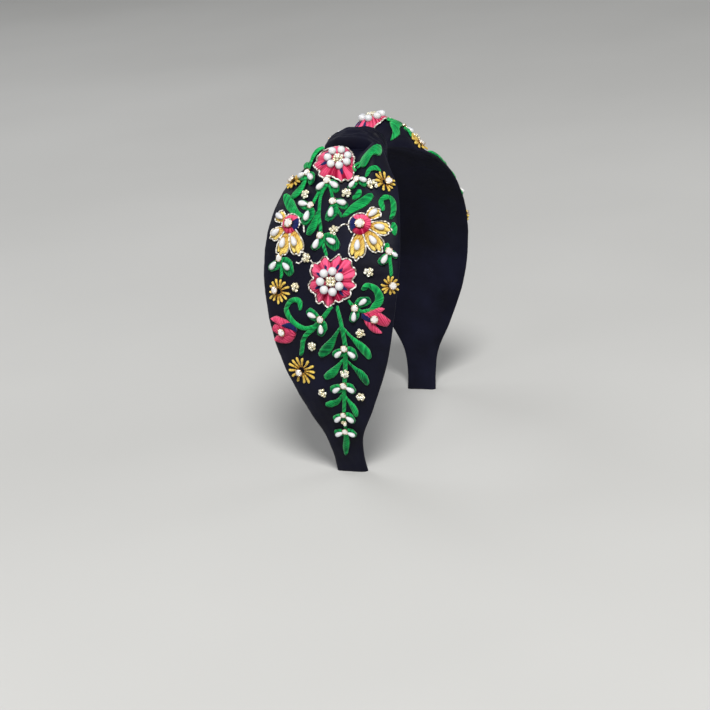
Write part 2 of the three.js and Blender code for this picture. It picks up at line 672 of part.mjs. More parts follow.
// Everything below is placed on one side of the band: side -1 is the wearer's right, 1 the left
class Side {
  constructor(sign, prefix) {
    this.sign = sign;
    this.prefix = prefix;
  }

  // On the left the knot carries the topmost embroidery closer to the crown
  shifted(along) {
    if (this.sign < 0) return along;
    const share = THREE.MathUtils.clamp((SHIFT_END - along) / SHIFT_RUN, 0, 1);
    return along - UPPER_FLOWER_SHIFT * share;
  }

  // Where it moves up to the narrow neck, the embroidery by the edges moves in with them
  narrowed(along, across) {
    const share = Math.min(1, Math.abs(across) / halfWidth(along));
    const ratio = halfWidth(this.shifted(along)) / halfWidth(along);
    return across * (1 - (1 - ratio) * share * share);
  }

  on(along, across, height) {
    const gathered = THREE.MathUtils.clamp((KNOT_REACH - along) / 10, 0, 1);
    const place = this.sign * this.shifted(along);
    return overCloth(place, this.narrowed(along, across), height + GATHER_GAP * gathered);
  }

  // Low pad round a centre whose top carries mounds. The outline and each mound's foot are
  // [along, across] pairs; a mound rises through rings that shrink about its middle.
  // A wide pad's underside follows the cloth with one more ring.
  relief(centre, outline, mounds, wide) {
    const shrink = (points, middle, share) =>
      points.map(([along, across]) => [
        middle[0] + (along - middle[0]) * share,
        middle[1] + (across - middle[1]) * share,
      ]);
    const lift = (points, level) => points.map((point) => this.on(...point, level));
    const top = CLOTH_GAP + STITCH_HEIGHT;
    const faces = [];
    const wall = (lower, upper) => {
      for (let i = 0; i < lower.length; i += 1) {
        const next = (i + 1) % lower.length;
        faces.push(lower[i], lower[next], upper[next], lower[i], upper[next], upper[i]);
      }
    };
    const cap = (ring, point, up) => {
      for (let i = 0; i < ring.length; i += 1) {
        const next = ring[(i + 1) % ring.length];
        faces.push(...(up ? [ring[i], next, point] : [next, ring[i], point]));
      }
    };
    const rim = lift(outline, CLOTH_GAP);
    const inner = wide ? lift(shrink(outline, centre, HOLLOW_SHARE), CLOTH_GAP) : rim;
    if (wide) wall(inner, rim);
    cap(inner, this.on(...centre, CLOTH_GAP), false);
    const brim = shrink(outline, centre, BRIM_SHARE);
    wall(rim, lift(brim, top));
    const flat = ([along, across]) => new THREE.Vector2(along, across);
    const holes = mounds.map((mound) => mound.foot.map(flat));
    const corners = [brim, ...mounds.map((mound) => mound.foot)].flat();
    const raised = lift(corners, top);
    for (const face of THREE.ShapeUtils.triangulateShape(brim.map(flat), holes)) {
      const turned = THREE.ShapeUtils.area(face.map((k) => flat(corners[k]))) < 0;
      faces.push(...(turned ? [...face].reverse() : face).map((k) => raised[k]));
    }
    for (const mound of mounds) {
      let lower = lift(mound.foot, top);
      for (const [share, rise] of mound.rings) {
        const upper = lift(shrink(mound.foot, mound.middle, share), top + rise);
        wall(lower, upper);
        lower = upper;
      }
      cap(lower, this.on(...mound.middle, top + mound.height), true);
    }
    return facingOut(faces, faces.map((point, i) => i));
  }

  // Raised stroke of stitches along a line, highest along its middle
  stroke(line, widths, height, layer, leastSteps = 2) {
    const low = CLOTH_GAP + LAYER_STEP * (layer % LAYERS);
    const curve = new THREE.CatmullRomCurve3(line.map(([a, b]) => new THREE.Vector3(a, b, 0)));
    const sizes = new THREE.CatmullRomCurve3(widths.map((w, i) => new THREE.Vector3(i, w, 0)));
    const gathered = line[0][0] < KNOT_REACH && line[line.length - 1][0] < KNOT_REACH;
    const step = gathered ? GATHERED_STROKE_STEP : STROKE_STEP;
    const steps = Math.max(leastSteps, Math.round(curve.getLength() / step));
    const sections = [];
    for (let i = 0; i <= steps; i += 1) {
      const u = i / steps;
      const point = curve.getPoint(u);
      const tangent = curve.getTangent(u);
      const half = sizes.getPoint(u).y / 2;
      const across = (share, level) =>
        this.on(point.x - tangent.y * half * share, point.y + tangent.x * half * share, level);
      const section = [across(1, low), across(0, low + height), across(-1, low)];
      if (gathered) section.push(across(0, low));
      sections.push(section);
    }
    const end = (u) => {
      const point = curve.getPoint(u);
      return this.on(point.x, point.y, low + height / 3);
    };
    return loft(sections, end(0), end(1));
  }

  // The two leaves of a sprig, as one stroke that narrows under its stone
  sprig(row, layer) {
    const { width } = SPRIG_LEAF;
    const length = row.length ?? SPRIG_LEAF.length;
    const [first, second] = row.headings.map((heading) => THREE.MathUtils.degToRad(heading));
    const reach = [[first, 1], [first, 0.5], [first, 0], [second, 0.5], [second, 1]];
    const line = reach.map(([angle, share]) => [
      row.along + share * length * Math.cos(angle),
      row.across + share * length * Math.sin(angle),
    ]);
    const widths = [0.5, 1, 0.36, 1, 0.5].map((share) => share * width);
    return this.stroke(line, widths, STITCH_HEIGHT, layer, line.length - 1);
  }

  pearlFlower(row) {
    const scallop = (angle) => {
      const wave = 1 - SCALLOP_DEPTH * (1 - Math.cos(row.petals * angle));
      const tucked = row.tuck * Math.max(0, -Math.sin(angle)) ** 2;
      return row.radius * (wave - tucked);
    };
    const outline = around(row.along, row.across, 2 * row.petals, scallop);
    const ring = around(row.along, row.across, PEARLS_PER_FLOWER, () => row.ring);
    const mounds = ring.map(([along, across]) => pearlMound(along, across));
    mounds.push(centreMound(row.along, row.across));
    const geometry = this.relief([row.along, row.across], outline, mounds, true);
    return named(`${this.prefix}_${row.name}`, geometry, pinkThread);
  }

  fanFlower(row) {
    const mounds = [stoneMound(row.along, row.across, HEART_STONE_RADIUS)];
    for (const petal of row.petals) {
      const run = petal.tipAlong - row.along;
      const reach = petal.tipAcross - row.across;
      const along = row.along + DROP_PLACE * run;
      const across = row.across + DROP_PLACE * reach;
      mounds.push(dropMound(along, across, Math.atan2(reach, run)));
    }
    const geometry = this.relief([row.along, row.across], fanOutline(row), mounds, true);
    return named(`${this.prefix}_${row.name}`, geometry, yellowThread);
  }

  daisy(row) {
    const star = (angle, i) => row.radius * (i % 2 ? DAISY_NOTCH : 1);
    const outline = around(row.along, row.across, 2 * DAISY_PETALS, star);
    const stone = stoneMound(row.stoneAlong, row.stoneAcross, DAISY_STONE_RADIUS);
    const geometry = this.relief([row.along, row.across], outline, [stone], false);
    return named(`${this.prefix}_${row.name}`, geometry, goldThread);
  }

  tulip(row) {
    const { along, across } = row.stone;
    const outline = row.outline.map((corner) => [corner.along, corner.across]);
    const facing = THREE.ShapeUtils.area(outline.map(([x, y]) => new THREE.Vector2(x, y)));
    if (facing < 0) outline.reverse();
    const geometry = this.relief([along, across], outline, [stoneMound(along, across)], true);
    return named(`${this.prefix}_${row.name}`, geometry, pinkThread);
  }

  spray(row) {
    const parts = row.strokes.map((stroke, layer) => {
      if (stroke.kind === 'leaf') return this.stroke(stroke.line, stroke.widths, STITCH_HEIGHT, layer);
      const width = stroke.kind === 'curl' ? CURL_WIDTH : STEM_WIDTH;
      return this.stroke(stroke.line, stroke.line.map(() => width), STEM_HEIGHT, layer);
    });
    for (const sprig of row.sprigs) parts.push(this.sprig(sprig, parts.length));
    return named(`${this.prefix}_${row.name}`, fuse(parts), greenThread);
  }

  make() {
    const group = new THREE.Group();
    for (const row of PEARL_FLOWERS) group.add(this.pearlFlower(row));
    for (const row of FAN_FLOWERS) group.add(this.fanFlower(row));
    for (const row of DAISIES) group.add(this.daisy(row));
    for (const row of TULIPS) group.add(this.tulip(row));
    for (const row of SPRAYS) group.add(this.spray(row));
    return group;
  }
}

const headband = new THREE.Group();
headband.add(named('band', makeBand(), cloth));
headband.add(named('knot_wrap', makeWrap(), cloth));
headband.add(new Side(-1, 'right').make());
headband.add(new Side(1, 'left').make());

export default headband;
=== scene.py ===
import math

import bmesh
import bpy
import numpy as np
from bpy.props import FloatProperty, FloatVectorProperty, IntProperty, PointerProperty
from mathutils import Matrix, Vector


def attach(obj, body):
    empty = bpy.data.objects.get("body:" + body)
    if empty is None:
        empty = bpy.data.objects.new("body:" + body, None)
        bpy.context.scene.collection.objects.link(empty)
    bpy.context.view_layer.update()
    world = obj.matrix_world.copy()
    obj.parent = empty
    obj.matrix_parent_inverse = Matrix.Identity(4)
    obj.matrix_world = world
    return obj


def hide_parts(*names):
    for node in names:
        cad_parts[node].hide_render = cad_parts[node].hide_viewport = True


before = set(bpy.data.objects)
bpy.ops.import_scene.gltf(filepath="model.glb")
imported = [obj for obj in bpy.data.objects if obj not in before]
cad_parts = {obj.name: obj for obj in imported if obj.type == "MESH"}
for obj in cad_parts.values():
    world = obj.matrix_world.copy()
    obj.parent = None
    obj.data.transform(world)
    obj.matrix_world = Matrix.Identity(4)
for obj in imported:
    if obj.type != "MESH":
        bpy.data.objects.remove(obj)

bl_info = {
    "name": "Embroidered knot headband",
    "version": (1, 0, 0),
    "blender": (4, 5, 0),
    "location": "View3D > Sidebar > Headband",
    "description": "A wide cloth headband with a knot, floral satin stitch, pearls and cut stones",
    "category": "Object",
}

# The chart, its sizes and its heights are in millimetres, and meshes are made in metres
MM = 0.001
BODY = "root"
SEED = 20

# The arch of the outer cloth, as on the solid part: radius and length of each arc from the crown down
ARCS = [(62.0, 65.0), (95.0, 53.0), (250.0, 1000.0)]
CROSS_RADIUS = 90.0
EDGE_ROUNDING = 10
LOBE_EDGE_POWER = 8
# How far down its side each half of the band is made, before its end is cut level
BAND_END = 196
BAND_STEP, OVER_STOPS, UNDER_STOPS = 1.0, 65, 31

# The embroidery's gap to the cloth, and the further gap on the gathered cloth
CLOTH_GAP = 0.35
GATHER_GAP = 0.6
GATHER_REACH, GATHER_RUN = 46.0, 10
# The left side's upper embroidery sits nearer the crown
UPPER_SHIFT = 8.0
SHIFT_END = 60.0
SHIFT_RUN = 34.0

# Half of the band's width at places along one side: (along, half)
HALF_WIDTHS = [
    (0, 12.8), (9, 14.6), (20, 22.6), (32, 29.2), (50, 33.6), (75, 35.6),
    (100, 33.2), (125, 27.6), (150, 17), (164, 10), (176, 8), (190, 8),
]

# Plump folds by the knot: side, along, across, rise towards the crown, fall down the side, reach, height
LOBES = [
    (-1, 20, 4, 15, 32, 17, 5.6),
    (-1, 16, 15, 12, 20, 9, 2.6),
    (-1, 15, -15.5, 16, 34, 10, 9.6),
    (1, 19, -1, 15, 32, 15.5, 10.8),
    (1, 20, -14, 16, 32, 11, 6.5),
    (1, 22, 20, 14, 24, 13, 4.4),
]

# Creases below the knot: where they start and end along the side, and how deep they are
CREASE_START, CREASE_RUN = 8, 8
CREASE_END, CREASE_FADE = 52, 34
CREASE_DEPTH = 0.9
WIDE_CREASES, FINE_CREASES = 7.5, 15.4
# Cloth nearer the edges than this share of the half width is bare and creases more
BARE_FROM, BARE_RUN, COVERED_SHARE = 0.42, 0.3, 0.35
# Waves of the cloth between the stitches: depth, and two crossed waves as (along, across, start)
PUCKERS = [(0.14, (0.41, 0.19, 0), (-0.13, 0.37, 0.8)), (0.07, (0.93, -0.61, 2), (0.47, 0.85, 0))]

# The wrap's path round the neck, from its back edge over the top: (turn, shift to the left, half width)
WRAP_PATH = [(0, 0.5, 6.8), (90, -3.4, 7.4), (180, -6.5, 7.6), (270, -2.6, 7), (360, 0.5, 6.8)]
WRAP_CLEARANCE = 0.5
WRAP_SIDE_THICKNESS, WRAP_UNDER_THICKNESS = 2.4, 2.6
WRAP_RISE, WRAP_SLOPE = 0.88, 0.16
WRAP_FLAT = 0.86
# Powers that square or round the wrap's section: inside, outer sides, top and underside
INSIDE_POWER, SIDE_POWER, TOP_POWER, UNDER_POWER = 0.45, 0.9, 0.75, 0.6
# The wrap's height as shares: plain cloth, wide folds, narrow pleats and least at the edges
WRAP_PLAIN, WRAP_FOLD, WRAP_PLEAT, WRAP_LEAST = 0.76, 0.17, 0.09, 0.12
FOLD_DRIFT = 0.35
# Small rucks: depth, waves round the neck, waves across the wrap
RUCKS = [(0.02, 9, 5), (0.015, 17, -7)]
WRAP_STOPS, WRAP_TURNS, INNER_STOPS = 61, 260, 9
# The cloth's length round the wrap and its width, which lay the weave out
WRAP_LENGTH, WRAP_WIDTH = 120, 40

# Pink flowers: name, along, across, ring of pearls, first pearl's angle, the petals' tips and notches as
# (angle, reach) and the angles of the navy stitches. Angle 0 points down the side and 90 to the back.
PEARL_FLOWERS = [
    (
        "upper_flower", 25.8, -0.2, 4.4, 30,
        [
            (13, 8.6), (29, 10.4), (45, 10.8), (51, 9.4), (76, 11.4), (83, 11.8), (90, 10), (100, 11.2),
            (119, 11), (131, 10.2), (146, 12), (161, 11.6), (178, 10.4), (195, 8.6), (222, 6.9), (250, 6.4),
            (272, 6.4), (300, 8.8), (315, 11.4), (326, 11.6), (332, 10), (340, 11.2), (352, 9.6),
        ],
        (66, 116, 140, 172, 335),
    ),
    (
        "middle_flower", 84.2, -4, 4.75, 38,
        [
            (10, 12), (25, 9.8), (35, 12.2), (53, 9.6), (67, 11), (77, 11.6), (91, 10.2), (98, 8.8),
            (108, 10.4), (116, 11.6), (133, 12.2), (140, 10.2), (163, 12), (174, 8.8), (196, 12.6),
            (206, 11), (214, 12.6), (224, 13), (231, 11.6), (241, 12.2), (251, 12), (259, 10.8), (266, 9.2),
            (280, 11.8), (293, 9.4), (306, 10.8), (325, 9.6), (339, 10.2), (349, 8.8), (357, 10.2),
        ],
        (67, 118, 157, 203, 221, 296, 317),
    ),
]
# The petals' threads: where they start, their tone with its fall down the side, its painted shade in notches
# (with painted light at the tips) and its rise outwards, and their height in a notch with its rise to a tip
FLOWER_INNER = 0.8
FLOWER_TONE, TONE_FALL, NOTCH_PAINTED_SHADE, OUTER_TONE, TONE_REACH = 0.4, 0.28, 0.75, 0.03, 6
NOTCH_HEIGHT, TIP_RISE = 0.55, 0.6
# Rings smaller than this have smaller pearls
FULL_RING = 4.7
# The navy stitches: their points beyond the ring of pearls, widths, height and lift over the petals
NAVY_REACHES = (0.6, 2.2, 4)
NAVY_WIDTHS = [2.2, 1.7, 0.5]
NAVY_HEIGHT, NAVY_LIFT = 0.7, 0.85
# Points of a flower's cord, its distance from the petals and how far it strays
CORD_POINTS, CORD_BEYOND, CORD_STRAY = 96, 0.3, 0.3
# The beaded middle: beads in the low ring, their reach, and the spacing and height of the beads on top
MOUND_RING, MOUND_REACH, MOUND_LOW = 8, 1.7, 1.3
MOUND_STEP, MOUND_TOP, MOUND_FALL = 1.35, 2.5, 0.3
# A cluster in bead widths: the ring's reach for each bead in it, the middle bead's height, and the reach
# and height of the two on top
RING_REACH, MIDDLE_HEIGHT = 0.15, 0.36
TOP_REACH, TOP_HEIGHT = 0.42, 0.86

# Fan flowers: name, along, across, heart, petals as (tip along, tip across, width), middle of the navy arc
FAN_FLOWERS = [
    (
        "front_fan_flower", 57, -16, 5.2,
        [(48.8, -23.4, 6), (58.4, -30, 6.4), (69, -26.6, 6.6), (73.4, -15.6, 7)], 88,
    ),
    (
        "back_fan_flower", 56.6, 19.4, 4.8,
        [(50.4, 28.4, 5.6), (62.6, 30.2, 6), (72, 23.4, 6.4), (71.2, 13, 6.6)], -82,
    ),
]
# Fingers of one fan petal: how far aside as a share of the width, end, share of the width, tone
FAN_FINGERS = [(-0.3, 0.93, 0.33, 0.7), (0.3, 0.9, 0.33, 0.8), (0.0, 1.0, 0.4, 0.6)]
# One side of a fan petal's cord, as shares of the way and of the width. Near points count from the heart.
FAN_EDGE_NEAR = [(0, 0.28), (0.2, 0.44), (0.42, 0.56)]
FAN_EDGE_FAR = [(0.88, 0.52), (0.97, 0.36), (0.97, 0.2), (1.06, 0.06)]
# A finger's points as shares of its length and distance aside, the share aside at its end, and its widths
FINGER_STOPS = [(0, 0.35), (0.45, 1), (0.8, 1.06)]
FINGER_END = 0.9
FINGER_WIDTHS = (0.35, 1, 1, 0.8)
FINGER_HEIGHT, MIDDLE_FINGER_MORE, FINGER_LEAN = 0.85, 0.12, 0.9
FINGER_DEEP, FINGER_LIGHTER = 0.05, 0.25
FAN_PEARL_AT, FAN_PEARL_HEIGHT = 0.46, 1.8
FAN_PEARL_LENGTH, FAN_PEARL_WIDTH = 5.1, 2.8
# How far a petal starts under the heart's rim, and how far the heart's own cord stands off it
HEART_OVERLAP, HEART_CORD_GAP = 0.4, 0.35
# Where the heart's threads start, their height and how far the rim waves
HEART_INNER, HEART_HEIGHT, HEART_WAVE = 1.2, 1.15, 0.25
# Half of the heart's navy arc, half of its cord's gap at each petal, and the points that cord is laid through
NAVY_SPREAD, PETAL_SPREAD, HEART_CORD_POINTS = 0.75, 0.5, 28

# Gold daisies: name, along, across, radius, petals, stone's along, stone's across
DAISIES = [
    ("daisy_top_back", 31.2, 23.4, 4.6, 10, 30.4, 24.6),
    ("daisy_top_front", 33, -23.4, 5.2, 11, 32.4, -25),
    ("daisy_middle_back", 89.3, 24.6, 6.4, 13, 88.7, 25.8),
    ("daisy_middle_front", 86, -31.4, 4.8, 11, 86, -32.6),
    ("daisy_lower_back", 128.2, 15.4, 7.2, 13, 129, 16.2),
]
# A daisy's petal: where it starts and bends as shares of its reach, widths, height and slant of its threads
DAISY_START, DAISY_BEND = 0.22, 0.62
DAISY_WIDTHS = [0.55, 1.1, 1.5]
DAISY_HEIGHT, DAISY_LEAN = 0.75, 0.3

# Tulips: name, stone, blades as (thread, line, widths)
TULIPS = [
    (
        "tulip_back", (109, 22.8),
        [
            ("pink", [(107.2, 15), (105.2, 19.8), (104.2, 24.8), (103.2, 30.4)], [1.5, 3.8, 4.6, 0.3]),
            ("pink", [(109, 16), (111.8, 20), (113.2, 24.4), (114.4, 29.6)], [1.5, 4, 4.8, 0.3]),
            ("pink", [(108, 15.6), (108.4, 20.6), (108.8, 25), (108.8, 30)], [2.2, 5.8, 6.4, 0.4]),
            ("navy", [(107.6, 14.6), (106, 18.2), (105.8, 23)], [2, 3.4, 0.6]),
        ],
    ),
    (
        "tulip_front", (101.8, -23.8),
        [
            ("pink", [(100.6, -18.8), (98.6, -22), (97.6, -25.2), (97, -28.6)], [1.8, 3.6, 3.4, 0.6]),
            ("pink", [(102, -18.8), (104.6, -21.4), (107, -24), (109, -26.8)], [1.8, 3.8, 3.4, 0.6]),
            ("pink", [(101.4, -20), (101.6, -24), (102.2, -27.4), (103.2, -31.2)], [3, 7, 6.6, 0.5]),
            ("navy", [(101, -17.8), (101.2, -19.8), (101.4, -22.4)], [1.8, 4.4, 1.2]),
        ],
    ),
]
# Height and slant of the tulips' threads, and how far the navy base and each next blade lie over the first
TULIP_HEIGHT, TULIP_LEAN = 0.95, 0.8
TULIP_BASE_LIFT, BLADE_LIFT = 0.55, 0.12

# Green strokes of each node as (kind, line, widths). A stem has one width all along.
SPRAYS = {
    "long_leaf_spray": [
        ("leaf", [(31.4, 15.4), (35, 16.4), (39, 18.6), (42.8, 21.2)], [1.2, 2.8, 4.8, 2.8]),
        ("leaf", [(14.6, 11), (17, 12.8), (20, 13.6), (23.6, 14)], [2.4, 3.6, 3.4, 1.4]),
        ("leaf", [(25.8, 14.6), (24, 17.4), (21.8, 20.4)], [1.4, 3.4, 2.6]),
        ("stem", [(23, 14), (27, 14.6), (31, 14.8)], [1.5]),
    ],
    "main_spray": [
        ("stem", [(36.8, 2.6), (44, 5.2), (52, 5), (58, 3.4), (63, 2.4), (68, 0.6), (73.4, -1.4)], [1.7]),
        ("stem", [(37.6, 3.4), (42, 6.6), (48, 9.6)], [1.6]),
        ("stem", [(37.6, 2), (41, 0.4), (46.4, -1.4)], [1.6]),
        ("stem", [(46.4, -1.4), (50.4, -4.2), (53.6, -6.8)], [1.6]),
        ("leaf", [(53.6, -7.2), (49.4, -11.4), (45.8, -15), (41.2, -19)], [1.3, 4.2, 5.2, 2.2]),
        ("leaf", [(53.4, 11.2), (51.2, 16.4), (46, 21.6), (39.6, 26.8)], [1.2, 3.6, 5.6, 3]),
        ("stem", [(48, 9.6), (51, 9.8), (53.6, 11.2)], [1.5]),
        ("leaf", [(50, 5.4), (54, 6.2), (58.6, 7.4), (62.8, 8.2)], [1.1, 2.2, 4.8, 4.2]),
    ],
    "back_sprig": [("stem", [(73.4, 23.6), (78, 22.8), (83, 22.6)], [1.7])],
    "front_sprig": [
        ("stem", [(69.4, -30.4), (75, -31.2), (81.4, -32)], [1.7]),
        ("leaf", [(69.4, -30), (67.4, -29.2), (65.6, -28.4)], [1.6, 3.2, 1.6]),
    ],
    "valley_sprig": [],
    "hook_vine": [
        ("curl", [(95.6, -3.8), (101.6, 1.4), (106, 5.8), (111.6, 11.6), (120.6, 14.4)],
         [1.9, 2.3, 2.5, 2.4, 2.2]),
        ("curl",
         [(105, 5), (106.4, 10.6), (103.8, 16.8), (98.4, 20), (94, 17.6), (93.6, 13.6), (97.6, 11.6)],
         [1.4, 2.2, 2.8, 3, 2.6, 2.6, 3.4]),
    ],
    "curl_vine": [
        ("stem", [(93, -11.6), (96.3, -15), (98.4, -18.6)], [1.6]),
        ("leaf", [(98.4, -18), (97.4, -23), (92.6, -26), (88, -24.6), (86.2, -21), (88.4, -18.8)],
         [1.6, 2.8, 4.4, 3.8, 3, 2.8]),
    ],
    "centre_spray": [
        ("curl", [(95.4, -6.2), (105, -8), (115, -8.8), (122, -8), (130, -6.8)], [1.8, 2, 2.2, 2.3, 2.2]),
        ("curl", [(129, -7), (136, -5.4), (143, -4.4), (151, -2.8)], [2.2, 2.2, 2, 1.8]),
        ("stem", [(150, -3), (155, -2.4), (160, -2.2)], [1.6]),
        ("leaf", [(105, -7.8), (111, -3.4), (116.6, 0.8), (120.6, 3.6)], [1.1, 2.1, 5, 4.6]),
        ("leaf", [(106, -8.8), (112, -13.4), (116.8, -17.4), (121, -20.6)], [1.1, 1.7, 4.2, 4]),
        ("leaf", [(121, -7.6), (125.6, -3.2), (129.2, 0.2), (131.8, 2.8)], [1.1, 2.1, 4.4, 4]),
        ("leaf", [(122.4, -9), (127, -12.6), (131, -15.4), (134.4, -17.8)], [1.1, 1.7, 4, 4]),
        ("leaf", [(138.8, -4.6), (142.8, -1.6), (145, 2), (146.4, 5.2)], [1, 1.8, 3.4, 3]),
        ("leaf", [(140, -5), (144.6, -7), (148.4, -8.6), (151.8, -9.6)], [1, 1.8, 3.2, 2.4]),
        ("leaf", [(159, -2.2), (165, -1.4), (170, -0.4), (174.6, 0.4)], [1.2, 2.8, 3.4, 1.4]),
    ],
    "crescent_leaf": [
        ("leaf", [(16.4, -16.8), (20.2, -15.9), (24.6, -13.4), (29.8, -13.8)], [0.6, 4.8, 6.4, 1.4]),
    ],
    "hanging_leaf": [("leaf", [(40, -12.4), (42.2, -12.4), (44.8, -10.8)], [2, 3.4, 1.2])],
    "ribbon_curl": [
        ("curl", [(48.6, -26), (44.2, -24), (41.2, -26), (42.8, -28.8), (47.6, -30.2), (52.8, -29.8)],
         [2.4, 2.6, 3, 3, 2.6, 1.8]),
    ],
    "edge_leaf": [("leaf", [(54.4, -30.4), (57.6, -31.8), (60.8, -32.8)], [2.2, 3.4, 1.2])],
    "valley_curl": [
        ("curl", [(28.6, -20.4), (29.6, -18.2), (31.6, -16), (34.6, -15.2)], [1.5, 1.9, 1.9, 1.4]),
        ("curl", [(30, -9.4), (28.2, -7.2), (26.2, -8.6), (26.8, -10.8), (28.6, -10.2), (28.2, -9)],
         [1.5, 1.8, 1.8, 1.6, 1.2, 0.8]),
    ],
}
# The strokes' tone and how far it drifts from one to the next
GREEN_TONE, GREEN_DRIFT = 0.42, 0.1
# How leaves and stems differ: slant of the threads, painted highlight on the edges (and painted shade along
# the middle), share of the height
LEAF_LOOK = (0.75, 0.5, 1)
STEM_LOOK = (1.0, 0.25, 0.85)

# Sprigs: node, along, across, the two leaf pads' tips as (along, across)
SPRIGS = [
    ("long_leaf_spray", 30.6, 14.6, [(31, 20.6), (36.4, 9.8)]),
    ("main_spray", 37, 2.6, [(41.6, 7.2), (40.4, -3.6)]),
    ("main_spray", 48, 9.6, [(46.4, 16.6), (57.8, 11)]),
    ("main_spray", 46.4, -1.4, [(47.6, -9), (56, -1.5)]),
    ("main_spray", 63, 2.4, [(70, 5.2), (67.5, -7.5)]),
    ("back_sprig", 73.4, 23.6, [(79.5, 29.5), (80.3, 15.8)]),
    ("front_sprig", 69.4, -30.4, [(76.2, -27), (71.6, -34.6)]),
    ("valley_sprig", 35.8, -11, [(40, -8), (37.2, -16.4)]),
    ("hook_vine", 101.7, 1.8, [(98.5, 9), (109.9, 1.6)]),
    ("curl_vine", 96.3, -15, [(91.5, -21.6), (103.4, -14)]),
    ("centre_spray", 115.6, -8.5, [(120.2, -3), (120.8, -14.2)]),
    ("centre_spray", 134.6, -5.6, [(138.4, 1), (138.2, -11)]),
    ("centre_spray", 150.4, -3, [(154.4, 2.2), (154.6, -8.2)]),
    ("centre_spray", 159.8, -2.2, [(162.2, 3.4), (162.2, -7.4)]),
]

# A sprig's pad: its points as shares of the way to the tip, and its widths as (share of its length, more)
PAD_STOPS = (0.04, 0.4, 0.72, 1.0)
PAD_WIDTHS = [(0, 1.4), (0.5, 0.6), (0.62, 0.4), (0.5, 0)]
# The last value paints a highlight on the pad's edges and painted shade in its middle
PAD_TONE, PAD_LEAN, PAD_SHOULDER, PAD_PAINTED_HIGHLIGHT = 0.2, 0.5, 0.55, 0.6
PAD_PEARL_AT, PAD_PEARL_HEIGHT = 0.56, 1.5
PAD_PEARL_LENGTH, PAD_PEARL_WIDTH = 4.5, 2.4
# Pads shorter than this have smaller pearls, and pearls grow towards the crown
FULL_PAD = 6.4
PEARL_GROWTH, GROWTH_FROM, GROWTH_RUN = 0.16, 100, 50
SMALL_STONES_FROM = 140

# Stones: seat over the cloth, and size and further height on each kind of motif
STONE_SEAT = 1.35
FAN_STONE, FAN_STONE_LIFT = 1.25, 0.9
DAISY_STONE, DAISY_STONE_LIFT = 1, 0.2
TULIP_STONE, TULIP_STONE_LIFT = 1.05, 0.5
SPRIG_STONE, SMALL_SPRIG_STONE = 0.98, 0.82
# A stone's rings from below to its table: reach and height in radii, corners, turn in half steps
STONE_CORNERS = 8
STONE_RINGS = [(0.9, -0.35, 16, 0), (1, 0, 16, 0), (1, 0.14, 16, 0), (0.8, 0.4, 8, 1), (0.55, 0.56, 8, 0)]
# A setting in the stone's radii: the cup's profile, and a claw's points as (reach, height, thickness)
CUP = [(0.82, -0.62), (1.06, -0.5), (1.13, 0.02), (1.08, 0.1), (1.0, 0.02), (0.8, -0.4)]
CLAW = [(1.12, -0.35, 0.15), (1.17, 0.05, 0.15), (1.1, 0.3, 0.14), (0.94, 0.44, 0.12), (0.8, 0.46, 0.05)]
CLAWS, CLAW_SIDES, CUP_SIDES = 4, 6, 20

# Clusters of seed beads: along, across, beads
CLUSTERS = [
    (42, 13.4, 9), (41.9, -7.2, 9), (37.2, -18.4, 10), (60.5, -3.8, 9), (73.5, 9, 9), (79.5, -21.5, 9),
    (87, 14.5, 9), (108.5, -16.8, 9), (115, 7.5, 9), (128.5, -7, 9), (139, 5.8, 9), (141, -12.8, 9),
    (155, -2.6, 5),
]

# Loose runs of cord that aren't outlines: points in along and across
LOOSE_CORDS = [
    [(59.4, -5.6), (57.4, -8), (57.6, -10.2)],
    [(71.6, 9.2), (70.6, 11.4), (71.4, 13.4)],
    [(74.6, 11), (75.8, 12.8), (75.4, 14.4)],
    [(74.4, 6.8), (76, 5.4), (77.6, 5.6)],
    [(55.5, 15.8), (57, 12.4), (61.2, 11.2)],
]

# Satin stitch: heights over one thread's width, and stops across a stroke and along a petal's thread
THREAD_RIDGE = np.array([0.0, 0.72, 1.0, 0.72])
ACROSS_STOPS = np.array([-1, -0.86, -0.5, 0, 0.5, 0.86, 1])
PETAL_STOPS = np.array([0, 0.08, 0.3, 0.55, 0.78, 0.93, 1])
# How far single threads end short of, or beyond, a petal's outline
FRINGE = 0.28
# How deep the edges of the stitches sit, and a stroke's least half width and end rounding
SUNK = 0.3
LEAST_HALF = 0.12
LEAST_ROUNDING = 0.4
# Share of full height at no width, and the half width that adds a whole height
PLUMP_BASE, PLUMP_RUN = 0.35, 1.6
CORD_SIDES, CORD_STEP, CORD_LIFT = 8, 0.3, 0.1
PEARL_ROWS, PEARL_SIDES, DROP_SIDES = 13, 20, 16
BEAD_AROUND, BEAD_TUBE = 10, 6


def smooth_row(rows, at, column=1):
    """A smooth curve through the rows of a table, by Hermite pieces with central slopes."""
    places = np.array([row[0] for row in rows], float)
    values = np.array([row[column] for row in rows], float)
    last = len(rows) - 1
    x = np.clip(at, places[0], places[-1])
    i = np.clip(np.searchsorted(places, x, side="left") - 1, 0, last - 1)
    before = np.maximum(np.arange(last + 1) - 1, 0)
    after = np.minimum(np.arange(last + 1) + 1, last)
    slopes = (values[after] - values[before]) / (places[after] - places[before])
    span = places[i + 1] - places[i]
    u = (x - places[i]) / span
    ease = u * u * (3 - 2 * u)
    leave = u * (1 - u) ** 2 * span * slopes[i]
    arrive = u * u * (u - 1) * span * slopes[i + 1]
    return values[i] + (values[i + 1] - values[i]) * ease + leave + arrive


def half_width(along):
    return smooth_row(HALF_WIDTHS, np.abs(along))


